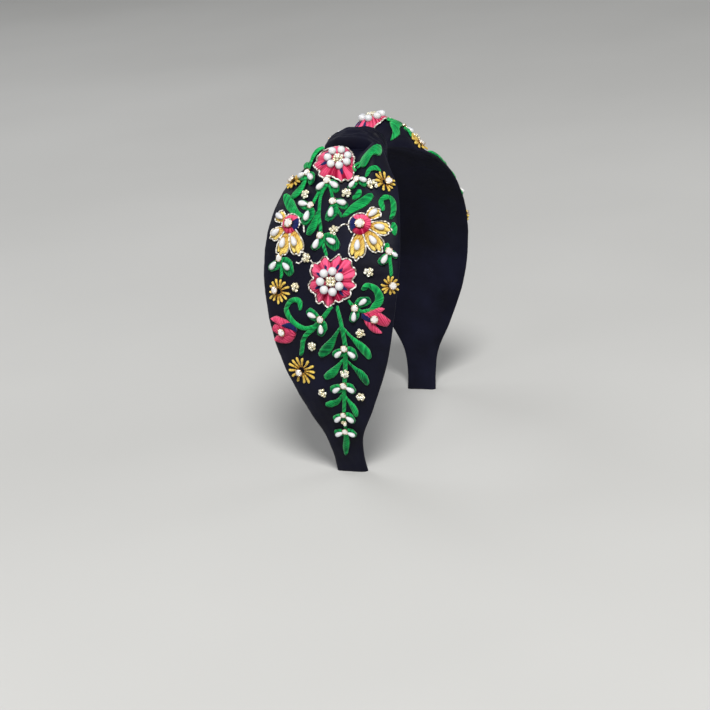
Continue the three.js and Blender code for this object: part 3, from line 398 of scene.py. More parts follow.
def arch_at(along):
    """The arch's point and outward normal at a signed distance from the crown."""
    side = np.where(along < 0, -1.0, 1.0)
    left = np.abs(along)
    turn, x = np.zeros_like(left), np.zeros_like(left)
    z = np.full_like(left, sizes().crown_height / MM)
    for radius, length in ARCS:
        step = np.minimum(left, length)
        after = turn + step / radius
        x = x + radius * (np.sin(after) - np.sin(turn))
        z = z - radius * (np.cos(turn) - np.cos(after))
        turn = after
        left = left - step
    return side * x, z, side * np.sin(turn), np.cos(turn)


def over_arch(along, across, height):
    """Points at a height over the arch's plain outer surface."""
    along, across, height = np.broadcast_arrays(*(np.asarray(v, float) for v in (along, across, height)))
    x, z, nx, nz = arch_at(along)
    angle = across / CROSS_RADIUS
    rise = CROSS_RADIUS * (np.cos(angle) - 1) + height * np.cos(angle)
    return np.stack([x + nx * rise, (CROSS_RADIUS + height) * np.sin(angle), z + nz * rise], axis=-1)


def bump(u):
    return np.maximum(0, 1 - u * u) ** 2


def lobe_height(along, across):
    """How far the gathered cloth stands above the arch."""
    distance = np.abs(along)
    edge = np.maximum(0, 1 - np.abs(across / half_width(along)) ** LOBE_EDGE_POWER)
    height = np.zeros(np.broadcast(along, across).shape)
    for side, middle, aside, rise, fall, reach, top in LOBES:
        run = np.where(distance < middle, rise, fall)
        here = np.where(along * side > 0, 1.0, 0.0)
        height = height + here * top * bump((distance - middle) / run) * bump((across - aside) / reach)
    return height * np.sqrt(edge)


def gathers(along, across):
    """Creases that run down from the knot and fade out, mostly at the cloth's bare places."""
    share = across / half_width(along)
    distance = np.abs(along)
    begin = np.clip((distance - CREASE_START) / CREASE_RUN, 0, 1)
    fade = begin * np.clip((CREASE_END - distance) / CREASE_FADE, 0, 1) ** 1.5
    swirl = 0.5 * np.sin(0.11 * along + 1.3)
    wide = np.abs(np.sin(WIDE_CREASES * share + swirl)) ** 0.6
    ridge = wide + 0.4 * np.abs(np.sin(FINE_CREASES * share + 2 * swirl))
    bare = COVERED_SHARE + (1 - COVERED_SHARE) * np.clip((np.abs(share) - BARE_FROM) / BARE_RUN, 0, 1)
    return CREASE_DEPTH * fade * bare * (ridge - 1.1)


def puckers(along, across):
    """Shallow waves of the cloth between the stitches and a softly uneven edge."""
    height = 0
    for depth, *waves in PUCKERS:
        first, second = (np.sin(a * along + b * across + start) for a, b, start in waves)
        height = height + depth * (first * second)
    return height


def edge_drop(share):
    half_thickness = sizes().band_thickness / MM / 2
    rounded = np.sqrt(np.maximum(0, 1 - np.abs(share) ** EDGE_ROUNDING))
    return half_thickness * (rounded - 1)


def cloth_height(along, across):
    share = np.clip(across / half_width(along), -1, 1)
    return edge_drop(share) + lobe_height(along, across) + gathers(along, across) + puckers(along, across)


def sizes():
    return bpy.context.scene.headband_sizes


def colours():
    return bpy.context.scene.headband_colours


class Panel:
    """One side of the band, where a chart place is along from the crown and across to the back."""

    def __init__(self, name, sign):
        self.name = name
        self.sign = sign
        self.flip = sign < 0

    def shifted(self, along):
        if self.sign < 0:
            return along
        return along - UPPER_SHIFT * np.clip((SHIFT_END - along) / SHIFT_RUN, 0, 1)

    def narrowed(self, along, across):
        """Where it moves up to the narrow neck, the embroidery by the edges moves in with them."""
        share = np.minimum(1, np.abs(across) / half_width(along))
        ratio = half_width(self.shifted(along)) / half_width(along)
        return across * (1 - (1 - ratio) * share * share)

    def on(self, along, across, height):
        along = np.asarray(along, float)
        place = self.sign * self.shifted(along)
        gathered = GATHER_GAP * np.clip((GATHER_REACH - along) / GATHER_RUN, 0, 1)
        across = self.narrowed(along, np.asarray(across, float))
        return over_arch(place, across, cloth_height(place, across) + height + gathered)

    def stand(self, shape, along, across, height, heading=0.0):
        """A shape's points set on the cloth. At heading 0 its first axis points down the side."""
        step = 0.6
        here = self.on(along, across, height)
        down = self.on(along + step, across, height) - self.on(along - step, across, height)
        back = self.on(along, across + step, height) - self.on(along, across - step, height)
        down = down / np.linalg.norm(down)
        out = np.cross(down, back) * self.sign
        out = out / np.linalg.norm(out)
        back = np.cross(out, down) * self.sign
        first = down * math.cos(heading) + back * math.sin(heading)
        second = back * math.cos(heading) - down * math.sin(heading)
        return here + shape[..., 0:1] * first + shape[..., 1:2] * second + shape[..., 2:3] * out


PANELS = [Panel("right", -1), Panel("left", 1)]


class Work:
    """A mesh that grows by patches, with a thread coordinate and a tone for every point."""

    def __init__(self):
        self.points, self.faces, self.threads, self.tones = [], [], [], []
        self.count = 0

    def patch(self, points, threads=None, tone=0.5, ring=False, flip=False, caps=False):
        """A grid of points (rows, columns, 3). A ring joins the last column to the first."""
        rows, columns = points.shape[:2]
        index = self.count + np.arange(rows * columns).reshape(rows, columns)
        right = np.roll(index, -1, axis=1) if ring else index[:, 1:]
        left = index if ring else index[:, :-1]
        quads = np.stack([left[:-1], left[1:], right[1:], right[:-1]], axis=-1).reshape(-1, 4)
        quads = quads[:, ::-1] if flip else quads
        self.faces.extend(quads.tolist())
        if caps:
            first, last = index[0].tolist(), index[-1][::-1].tolist()
            self.faces.extend([first[::-1], last[::-1]] if flip else [first, last])
        self.add(points.reshape(-1, 3), threads, tone)

    def add(self, points, threads, tone):
        if threads is None:
            threads = np.zeros((len(points), 2))
        self.points.append(points)
        self.threads.append(threads.reshape(-1, 2))
        self.tones.append(np.broadcast_to(np.asarray(tone, float).reshape(-1), (len(points),)))
        self.count += len(points)

    def stand(self, panel, shape, place, heading=0.0, tone=0.5, inward=False, caps=True):
        """A shape of rings, set on the cloth at its place in along, across and height."""
        points = panel.stand(shape, *place, heading)
        self.patch(points, None, tone, ring=True, flip=panel.flip == inward, caps=caps)

    def solid(self, points, faces, flip=False):
        for face in faces:
            self.faces.append([self.count + k for k in (face[::-1] if flip else face)])
        self.add(points, None, 0.5)

    def piece(self, name, finish, replaces=None):
        """Makes the piece, which rides on the body and wears its finish."""
        if not self.points:
            raise RuntimeError(f"{name} has no points")
        mesh = bpy.data.meshes.new(name)
        mesh.from_pydata(np.concatenate(self.points) * MM, [], self.faces)
        mesh.materials.append(material(finish))
        corners = np.empty(len(mesh.loops), dtype=np.int32)
        mesh.loops.foreach_get("vertex_index", corners)
        layer = mesh.uv_layers.new(name="threads")
        layer.data.foreach_set("uv", np.concatenate(self.threads)[corners].astype(np.float32).ravel())
        tone = mesh.attributes.new("tone", "FLOAT", "POINT")
        tone.data.foreach_set("value", np.concatenate(self.tones).astype(np.float32))
        mesh.polygons.foreach_set("use_smooth", [finish != "stone"] * len(mesh.polygons))
        mesh.update()
        piece = bpy.data.objects.new(name, mesh)
        bpy.context.scene.collection.objects.link(piece)
        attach(piece, BODY)
        if replaces:
            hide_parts(replaces)
        return piece


def make_pieces(panel, group, works):
    """Makes the pieces that a panel's motifs share: (end of the name, work, finish)."""
    for end, work, finish in works:
        work.piece(f"{panel.name}_{group}_{end}", finish)


def spline(points, count, closed=False):
    """Points and directions evenly spaced along a smooth curve through the given points."""
    knots = np.array(points, float)
    if closed:
        knots = np.vstack([knots[-1:], knots, knots[:2]])
    else:
        knots = np.vstack([2 * knots[0] - knots[1], knots, 2 * knots[-1] - knots[-2]])
    fine = 24
    pieces = []
    u = np.linspace(0, 1, fine, endpoint=False)[:, None]
    for a, b, c, d in zip(knots[:-3], knots[1:-2], knots[2:-1], knots[3:]):
        bend = 2 * a - 5 * b + 4 * c - d
        twist = 3 * b - a - 3 * c + d
        pieces.append(b + 0.5 * u * ((c - a) + u * (bend + u * twist)))
    track = np.vstack(pieces + [knots[-2:-1]])
    gaps = np.linalg.norm(np.diff(track, axis=0), axis=1)
    run = np.concatenate([[0], np.cumsum(gaps)])
    at = np.linspace(0, run[-1], count)
    line = np.stack([np.interp(at, run, track[:, k]) for k in range(track.shape[1])], axis=1)
    slope = np.gradient(line, axis=0)
    if closed:
        slope[0] = slope[-1] = line[1] - line[-2]
    return line, slope / np.linalg.norm(slope, axis=1, keepdims=True), run[-1]


def length_of(points):
    return float(np.sum(np.linalg.norm(np.diff(np.array(points, float), axis=0), axis=1)))


def toward(angle):
    return np.array([math.cos(angle), math.sin(angle)])


def around(count):
    """Evenly spaced angles of one whole turn."""
    return np.arange(count) * 2 * math.pi / count


def half_widths(widths, place, length):
    """Half of a stroke's width along it, with rounded ends."""
    if len(widths) == 1:
        half = np.full(len(place), widths[0] / 2.0)
    else:
        stops = spline([(i, w) for i, w in enumerate(widths)], 200)[0]
        half = np.interp(place * (len(widths) - 1), stops[:, 0], stops[:, 1]) / 2
    distance = place * length
    tip = np.sqrt(np.clip((length - distance) / max(0.5 * widths[-1], LEAST_ROUNDING), 0.01, 1))
    base = np.sqrt(np.clip(distance / max(0.5 * widths[0], LEAST_ROUNDING), 0.01, 1))
    return np.maximum(LEAST_HALF, half * tip * base)


def thread_ridges(count, dome):
    """The threads' ridges over a rounded form, for a number of rows."""
    ridge = np.resize(THREAD_RIDGE, count)[:, None]
    return sizes().thread_relief / MM * (ridge - 0.5) * dome


def beside(track, ahead, distance):
    """Places at distances to the side of a line's points."""
    aside = np.stack([-ahead[:, 1], ahead[:, 0]], axis=1)
    return track + aside[:, None, :] * distance[..., None]


def satin_stroke(work, panel, line, widths, height, tone=0.5, lean=0.55, shoulder=0.0, lift=0.0, rim=0.0):
    """A raised stroke of satin stitch: threads lie side by side across the line, at a slant.

    A pair as the tone runs from the base to the end. rim paints a highlight on the edges of the stroke, and
    painted shade along its middle.
    """
    length = length_of(spline(line, 60)[0])
    threads = max(4, int(round(length / (sizes().thread_pitch / MM))))
    rows = threads * len(THREAD_RIDGE) + 1
    track, ahead, _ = spline(line, rows)
    place = np.linspace(0, 1, rows)
    half = half_widths(widths, place, length)[:, None]
    distance = (place * length)[:, None]
    v = ACROSS_STOPS[None, :]
    slide = np.clip(distance + lean * half * v, 0, length) - distance
    centre = track[:, None, :] + ahead[:, None, :] * slide[..., None]
    spread = beside(centre, ahead, half * v)
    dome = np.sqrt(np.maximum(0, 1 - v * v)) * (1 + shoulder * v * v)
    plump = np.minimum(1, PLUMP_BASE + half / PLUMP_RUN)
    level = lift + CLOTH_GAP - SUNK + (height + SUNK) * plump * dome + thread_ridges(rows, dome)
    index = np.arange(rows)[:, None] / len(THREAD_RIDGE) + 0 * v
    ends = np.ravel(tone)
    # rim: a painted highlight on the stroke's edges and painted shade along its middle
    shade = (ends[0] + (ends[-1] - ends[0]) * place)[:, None] + rim * (np.abs(v) ** 3 - 0.35)
    points = panel.on(spread[..., 0], spread[..., 1], level)
    work.patch(points, np.stack([index, half * v], axis=-1), shade, ring=True, flip=panel.flip, caps=True)


def radial_satin(work, panel, centre, inner, outline, swell, turns=(0.0, 2 * math.pi), tone=None):
    """Satin threads that fan out from a middle. outline and swell give reach and height by angle."""
    start, end = turns
    widest = float(np.max(outline(np.linspace(start, end, 90))))
    threads = max(8, int(round(abs(end - start) * 0.72 * widest / (sizes().thread_pitch / MM))))
    columns = threads * len(THREAD_RIDGE) + 1
    angle = np.linspace(start, end, columns)
    thread = np.floor(np.arange(columns) / len(THREAD_RIDGE))
    reach = outline(angle) + FRINGE * (np.modf(np.sin(12.9 * thread) * 437.5)[0])
    share = PETAL_STOPS[None, :]
    radius = inner + (reach[:, None] - inner) * share
    dome = np.sqrt(np.maximum(0, 1 - (2 * share - 1) ** 4))
    level = CLOTH_GAP - SUNK + (swell(angle)[:, None] + SUNK) * dome + thread_ridges(columns, dome)
    along = centre[0] + radius * np.cos(angle)[:, None]
    across = centre[1] + radius * np.sin(angle)[:, None]
    index = np.arange(columns)[:, None] / len(THREAD_RIDGE) + 0 * share
    tones = 0.5 if tone is None else tone(angle, radius)
    coordinate = np.stack([index, radius], axis=-1)
    work.patch(panel.on(along, across, level), coordinate, tones, flip=not panel.flip)


def cord_along(work, panel, line, lift=CORD_LIFT, closed=False):
    """A couched cord of two twisted strands along a line of the chart."""
    radius = sizes().cord_radius / MM
    length = length_of(spline(line, 200, closed)[0])
    rows = max(6, int(length / CORD_STEP))
    track, ahead, _ = spline(line, rows, closed)
    angle = around(CORD_SIDES)
    turn = np.linspace(0, length, rows)[:, None] * 2 * math.pi / sizes().cord_twist * MM
    reach = radius * (0.9 + 0.24 * np.cos(2 * angle[None, :] - turn))
    spread = beside(track[:, None, :], ahead, reach * np.cos(angle))
    level = CLOTH_GAP + lift + radius * 0.8 - reach * np.sin(angle)
    coordinate = np.stack([turn / math.pi + 0 * angle, 0 * turn + angle / math.pi], axis=-1)
    points = panel.on(spread[..., 0], spread[..., 1], level)
    work.patch(points, coordinate, 0.5, ring=True, flip=panel.flip, caps=not closed)


def turned(profile, sides, offset=0.0):
    """Rings of points round the third axis, from (radius, height) rows."""
    angle = around(sides) + offset
    return np.stack([
        np.stack([r * np.cos(angle), r * np.sin(angle), np.full(sides, h)], axis=-1) for r, h in profile
    ])


def round_pearl(work, panel, place, radius):
    sweep = np.linspace(-math.pi / 2, math.pi / 2, PEARL_ROWS)
    profile = [(max(radius * math.cos(a), 0.02 * radius), radius * math.sin(a)) for a in sweep]
    work.stand(panel, turned(profile, PEARL_SIDES), place)


def drop_pearl(work, panel, place, heading, length, width):
    """A pearl drop that lies on the cloth, with its full end ahead."""
    angle = around(DROP_SIDES)
    rows = []
    for a in np.linspace(-math.pi / 2, math.pi / 2, PEARL_ROWS):
        ahead = math.sin(a)
        radius = max(0.02, math.cos(a)) * width / 2 * (1 + 0.28 * ahead)
        reach = np.full(DROP_SIDES, ahead * length / 2)
        rows.append(np.stack([reach, radius * np.cos(angle), radius * np.sin(angle)], axis=-1))
    work.stand(panel, np.stack(rows), place, heading)


def cut_stone(work, panel, place, radius):
    """A round stone: pavilion, girdle, two rows of crown facets and a table."""
    corners, wide = STONE_CORNERS, 2 * STONE_CORNERS
    rings = [
        turned([(r * radius, h * radius)], sides, offset * math.pi / corners)[0]
        for r, h, sides, offset in STONE_RINGS
    ]
    faces = []
    for i in range(wide):
        after = (i + 1) % wide
        faces.append([i, after, wide + after, wide + i])
        faces.append([wide + i, wide + after, 2 * wide + after, 2 * wide + i])
    rim, middle, top = 2 * wide, 3 * wide, 3 * wide + corners
    for k in range(corners):
        one, between, two = rim + 2 * k, rim + 2 * k + 1, rim + (2 * k + 2) % wide
        following = (k + 1) % corners
        faces.append([one, between, middle + k])
        faces.append([between, two, middle + k])
        faces.append([top + k, middle + k, top + following])
        faces.append([two, middle + following, top + following, middle + k])
    faces.append([top + k for k in range(corners)])
    faces.append(list(range(wide))[::-1])
    work.solid(panel.stand(np.vstack(rings), *place), faces, flip=not panel.flip)


def claw_setting(work, panel, place, radius):
    """A thin cup under a stone, and claws that bend over its edge."""
    work.stand(panel, turned([(r * radius, h * radius) for r, h in CUP], CUP_SIDES), place)
    angle = around(CLAW_SIDES)
    for k in range(CLAWS):
        way = 2 * math.pi * (k + 0.5) / CLAWS
        rows = []
        for i, (reach, rise, thick) in enumerate(CLAW):
            before, after = CLAW[max(0, i - 1)], CLAW[min(len(CLAW) - 1, i + 1)]
            run = np.array([after[0] - before[0], after[1] - before[1]])
            run = run / np.linalg.norm(run)
            flat = thick * radius
            out = reach * radius + flat * np.cos(angle) * run[1]
            level = rise * radius - flat * np.cos(angle) * run[0]
            side = 1.2 * flat * np.sin(angle)
            first = out * math.cos(way) - side * math.sin(way)
            second = out * math.sin(way) + side * math.cos(way)
            rows.append(np.stack([first, second, level], axis=-1))
        work.stand(panel, np.stack(rows), place, inward=True)


def set_stone(stones, claws, panel, along, across, share=1, lift=0):
    """A stone and its setting. share is of the usual size, and lift raises them on a motif."""
    place = (along, across, CLOTH_GAP + STONE_SEAT + lift)
    radius = sizes().stone_radius / MM * share
    cut_stone(stones, panel, place, radius)
    claw_setting(claws, panel, place, radius)


def seed_bead(work, panel, place, size, random):
    """A short glass bead with a hole, tipped any way."""
    ring, section = around(BEAD_AROUND)[:, None], around(BEAD_TUBE)[None, :]
    reach = size * (0.29 + 0.21 * np.cos(section))
    rise = size * 0.34 * np.sin(section)
    shape = np.stack([
        reach * np.cos(ring),
        reach * np.sin(ring),
        rise + 0 * ring,
    ], axis=-1)
    tip, way = random.uniform(0, 1.2), random.uniform(0, 2 * math.pi)
    turn = Matrix.Rotation(way, 3, "Z") @ Matrix.Rotation(tip, 3, "X")
    shape = shape @ np.array(turn).T
    closed = np.concatenate([shape, shape[:1]])
    work.stand(panel, closed, place, tone=random.uniform(0, 1), caps=False)


def bead_cluster(work, panel, along, across, beads, random):
    """Seed beads sewn close together in a small mound: a middle, a ring and two on top."""
    size = sizes().seed_bead / MM
    ring = beads - 3
    start = random.uniform(0, 2 * math.pi)
    for k in range(beads):
        angle = start + 2 * math.pi * k / ring + random.uniform(-0.25, 0.25)
        reach = RING_REACH * ring * size * random.uniform(0.85, 1.15)
        level = size * random.uniform(0.3, 0.5)
        if k == ring:
            reach, level = 0, MIDDLE_HEIGHT * size
        elif k > ring:
            angle = start + math.pi * k + random.uniform(-0.3, 0.3)
            reach, level = TOP_REACH * size, TOP_HEIGHT * size
        place = (along + reach * math.cos(angle), across + reach * math.sin(angle), CLOTH_GAP + level)
        seed_bead(work, panel, place, size, random)


def bead_mound(work, panel, along, across, random):
    """The beaded middle of a flower: three rows of three beads over a low ring of beads."""
    size = sizes().seed_bead / MM
    for k in range(MOUND_RING):
        angle = 2 * math.pi * k / MOUND_RING
        place = (along + MOUND_REACH * math.cos(angle), across + MOUND_REACH * math.sin(angle))
        seed_bead(work, panel, (*place, CLOTH_GAP + MOUND_LOW), size, random)
    for row in (-1, 0, 1):
        for column in (-1, 0, 1):
            height = CLOTH_GAP + (MOUND_TOP - MOUND_FALL * abs(row) - MOUND_FALL * abs(column))
            place = (along + MOUND_STEP * row, across + MOUND_STEP * column, height)
            seed_bead(work, panel, place, size, random)


def new_material(values):
    """A material, its nodes and its shader, with values for some of the shader's sockets."""
    material = bpy.data.materials.new("finish")
    material.use_nodes = True
    tree = material.node_tree
    shader = tree.nodes["Principled BSDF"]
    for socket, value in values.items():
        shader.inputs[socket].default_value = value
    return material, tree, shader


def figured(tree, operation, *values, clamp=False):
    """A maths node's result from sockets and numbers."""
    made = tree.nodes.new("ShaderNodeMath")
    made.operation = operation
    made.use_clamp = clamp
    for socket, value in zip(made.inputs, values):
        if isinstance(value, bpy.types.NodeSocket):
            tree.links.new(value, socket)
        else:
            socket.default_value = value
    return made.outputs[0]


def mixed(tree, share, first, second):
    """A colour between two, by a share that a socket gives."""
    mix = tree.nodes.new("ShaderNodeMix")
    mix.data_type = "RGBA"
    tree.links.new(share, mix.inputs["Factor"])
    for socket, value in zip(("A", "B"), (first, second)):
        target = [s for s in mix.inputs if s.name == socket and s.type == "RGBA"][0]
        if isinstance(value, bpy.types.NodeSocket):
            tree.links.new(value, target)
        else:
            target.default_value = (*value, 1)
    return [s for s in mix.outputs if s.type == "RGBA"][0]


def ranged(tree, value, low, high, to_low=0.0, to_high=1.0):
    made = tree.nodes.new("ShaderNodeMapRange")
    tree.links.new(value, made.inputs["Value"])
    for name, number in (("From Min", low), ("From Max", high), ("To Min", to_low), ("To Max", to_high)):
        made.inputs[name].default_value = number
    return made.outputs["Result"]


def grain(tree, scale, detail=3.0):
    """Noise in the piece's own space."""
    place = tree.nodes.new("ShaderNodeTexCoord")
    noise = tree.nodes.new("ShaderNodeTexNoise")
    noise.inputs["Scale"].default_value = scale
    noise.inputs["Detail"].default_value = detail
    tree.links.new(place.outputs["Object"], noise.inputs["Vector"])
    return noise.outputs["Fac"]


def drifting(tree, noise, first, second):
    """A colour that drifts between two with a noise."""
    return mixed(tree, ranged(tree, noise, 0.3, 0.7), first, second)


def raised(tree, shader, height, strength, distance):
    relief = tree.nodes.new("ShaderNodeBump")
    relief.inputs["Strength"].default_value = strength
    relief.inputs["Distance"].default_value = distance
    tree.links.new(height, relief.inputs["Height"])
    tree.links.new(relief.outputs["Normal"], shader.inputs["Normal"])


def thread_place(tree):
    """The thread coordinate, and its number along the threads and its place on one."""
    place = tree.nodes.new("ShaderNodeUVMap")
    place.uv_map = "threads"
    split = tree.nodes.new("ShaderNodeSeparateXYZ")
    tree.links.new(place.outputs["UV"], split.inputs["Vector"])
    return place.outputs["UV"], split.outputs["X"], split.outputs["Y"]


def point_tone(tree):
    tone = tree.nodes.new("ShaderNodeAttribute")
    tone.attribute_name = "tone"
    return tone.outputs["Fac"]


def cloth_material():
    """Dark navy satin: a fine slanted weave with painted sheen on its raised ribs, soft sheen and slightly
    uneven dye.
    """
    material, tree, shader = new_material({
        "Sheen Weight": 0.02,
        "Sheen Roughness": 0.45,
        "Sheen Tint": (0.4, 0.45, 0.9, 1),
        "Specular IOR Level": 0.13,
    })
    _, x, y = thread_place(tree)
    turns = 2 * math.pi * MM / sizes().weave_pitch
    waves = []
    for one, other, lean in ((x, y, 0.35), (y, x, -0.2)):
        slant = figured(tree, "MULTIPLY_ADD", other, lean, one)
        waves.append(figured(tree, "SINE", figured(tree, "MULTIPLY", slant, turns)))
    weave = figured(tree, "MULTIPLY", *waves)
    uneven = grain(tree, 55, 4)
    dye = mixed(tree, ranged(tree, uneven, 0.35, 0.68), colours().cloth_deep, colours().cloth_lit)
    # Painted sheen: the raised ribs of the weave are painted lighter
    weave_painted_sheen = mixed(tree, ranged(tree, weave, -1, 1, 0, 0.22), dye, colours().cloth_lit)
    tree.links.new(weave_painted_sheen, shader.inputs["Base Color"])
    tree.links.new(ranged(tree, uneven, 0.3, 0.7, 0.5, 0.64), shader.inputs["Roughness"])
    raised(tree, shader, weave, 0.22, 0.00006)
    return material


def thread_material(deep, bright, roughness=0.42, sheen=0.15, contrast=0.45):
    """Embroidery thread: each thread has its own tone, and fine filaments run along it."""
    material, tree, shader = new_material({
        "Roughness": roughness, "Sheen Weight": sheen, "Specular IOR Level": 0.5,
    })
    place, threads, _ = thread_place(tree)
    chance = tree.nodes.new("ShaderNodeTexWhiteNoise")
    chance.noise_dimensions = "1D"
    tree.links.new(figured(tree, "FLOOR", threads), chance.inputs["W"])
    bunch = tree.nodes.new("ShaderNodeTexNoise")
    bunch.noise_dimensions = "1D"
    bunch.inputs["Scale"].default_value = 1.0
    tree.links.new(figured(tree, "MULTIPLY", threads, 0.37), bunch.inputs["W"])
    drift = ranged(tree, bunch.outputs["Fac"], 0.3, 0.7, -contrast / 4, contrast / 4)
    shared = figured(tree, "ADD", drift, point_tone(tree))
    own = ranged(tree, chance.outputs["Value"], 0, 1, -0.5, 0.5)
    each = figured(tree, "MULTIPLY_ADD", own, contrast, shared)
    uneven = ranged(tree, grain(tree, 420, 2), 0.3, 0.7, -0.5, 0.5)
    total = figured(tree, "MULTIPLY_ADD", uneven, 0.2, each, clamp=True)
    dyed = mixed(tree, total, deep, bright)
    tree.links.new(dyed, shader.inputs["Base Color"])
    tree.links.new(dyed, shader.inputs["Specular Tint"])
    stretch = tree.nodes.new("ShaderNodeMapping")
    stretch.inputs["Scale"].default_value = (9, 0.8, 1)
    fibre = tree.nodes.new("ShaderNodeTexNoise")
    tree.links.new(place, stretch.inputs["Vector"])
    tree.links.new(stretch.outputs["Vector"], fibre.inputs["Vector"])
    raised(tree, shader, fibre.outputs["Fac"], 0.35, 0.00005)
    return material


def pearl_material():
    """Lustrous pearl: a soft body under a clear coat, with a painted bluish shade at its edges by the view's
    angle.
    """
    material, tree, shader = new_material({
        "Roughness": 0.22, "Coat Weight": 0.6, "Coat Roughness": 0.08, "Specular IOR Level": 0.6,
    })
    rim = tree.nodes.new("ShaderNodeLayerWeight")
    rim.inputs["Blend"].default_value = 0.35
    cloudy = grain(tree, 260)
    body = drifting(tree, cloudy, colours().pearl, colours().pearl_warm)
    # Painted shade: the pearls turn darker and bluer towards their edges as seen from the view
    body_and_painted_edge_shade = mixed(tree, rim.outputs["Facing"], body, colours().pearl_painted_edge_shade)
    tree.links.new(body_and_painted_edge_shade, shader.inputs["Base Color"])
    raised(tree, shader, cloudy, 0.05, 0.00005)
    return material


def stone_material():
    """Clear cut stone on a bright foil."""
    material, tree, shader = new_material({
        "Metallic": 0.25, "Roughness": 0.06, "Coat Weight": 1.0, "Coat Roughness": 0.02,
    })
    cloudy = grain(tree, 900, 2)
    body = drifting(tree, cloudy, colours().stone, colours().stone_warm)
    tree.links.new(body, shader.inputs["Base Color"])
    raised(tree, shader, cloudy, 0.02, 0.00002)
    return material


def claw_material():
    """Pale gold metal, brighter where it is worn smooth."""
    material, tree, shader = new_material({"Metallic": 1.0})
    worn = grain(tree, 1500)
    tree.links.new(drifting(tree, worn, colours().claw_deep, colours().claw), shader.inputs["Base Color"])
    tree.links.new(ranged(tree, worn, 0.3, 0.7, 0.2, 0.36), shader.inputs["Roughness"])
    raised(tree, shader, worn, 0.08, 0.00003)
    return material


def bead_material():
    """Silver-lined glass: each bead has its own tint between champagne and clear."""
    material, tree, shader = new_material({
        "Metallic": 0.35, "Roughness": 0.14, "Coat Weight": 0.8, "Coat Roughness": 0.04,
    })
    tint = mixed(tree, point_tone(tree), colours().bead_deep, colours().bead)
    tree.links.new(tint, shader.inputs["Base Color"])
    raised(tree, shader, grain(tree, 1200, 2), 0.05, 0.00004)
    return material


def floor_material():
    """Plain pale floor, very slightly uneven."""
    material, tree, shader = new_material({"Roughness": 0.85})
    shade = drifting(tree, grain(tree, 3), colours().floor_deep, colours().floor)
    tree.links.new(shade, shader.inputs["Base Color"])
    raised(tree, shader, grain(tree, 900, 2), 0.02, 0.0002)
    return material


MAKERS = {
    "cloth": cloth_material,
    "green": lambda: thread_material(colours().green_deep, colours().green, contrast=0.6),
    "pink": lambda: thread_material(colours().pink_deep, colours().pink, contrast=0.8),
    "navy": lambda: thread_material(colours().navy_deep, colours().navy),
    "yellow": lambda: thread_material(colours().yellow_deep, colours().yellow, contrast=0.7),
    "gold": lambda: thread_material(colours().gold_deep, colours().gold, 0.34),
    "cord": lambda: thread_material(colours().cord_deep, colours().cord, 0.4, 0.1, 1.3),
    "pearl": pearl_material,
    "stone": stone_material,
    "claw": claw_material,
    "bead": bead_material,
    "floor": floor_material,
}


def material(finish):
    """The material of a finish, made once."""
    label = f"headband_{finish}"
    if label not in bpy.data.materials:
        MAKERS[finish]().name = label
    return bpy.data.materials[label]


def colour_property(name, description, default):
    return FloatVectorProperty(
        name=name, description=description, default=default, subtype="COLOR", min=0.0, max=1.0, size=3
    )


def size_property(name, description, default):
    return FloatProperty(
        name=name, description=description, default=default, min=0.00001, unit="LENGTH", subtype="DISTANCE"
    )


class HeadbandSizes(bpy.types.PropertyGroup):
    """Sizes of the cloth, threads, beads and stones"""

    crown_height: size_property("Crown height", "Height of the plain cloth at the crown", 0.148)
    band_thickness: size_property("Band thickness", "Thickness of the padded band", 0.003)
    wrap_height: size_property("Wrap height", "Height of the knot's wrap over the arch", 0.0112)
    thread_pitch: size_property("Thread pitch", "Distance from one satin thread to the next", 0.00055)
    thread_relief: size_property("Thread relief", "Depth of the groove between two threads", 0.00026)
    leaf_height: size_property("Leaf height", "Height of the satin leaves over the cloth", 0.0009)
    cord_radius: size_property("Cord radius", "Radius of the couched outline cord", 0.00036)
    cord_twist: size_property("Cord twist", "Length of one twist of the outline cord", 0.0019)
    pearl_radius: size_property("Pearl radius", "Radius of the flowers' round pearls", 0.00206)
    stone_radius: size_property("Stone radius", "Radius of the cut stones", 0.0016)
    seed_bead: size_property("Seed bead", "Width of a seed bead", 0.0017)
    weave_pitch: size_property("Weave pitch", "Distance between the cloth's slanted ribs", 0.00042)
    pearls_per_flower: IntProperty(
        name="Pearls per flower", description="Round pearls in one flower's ring", default=7, min=3, max=16
    )


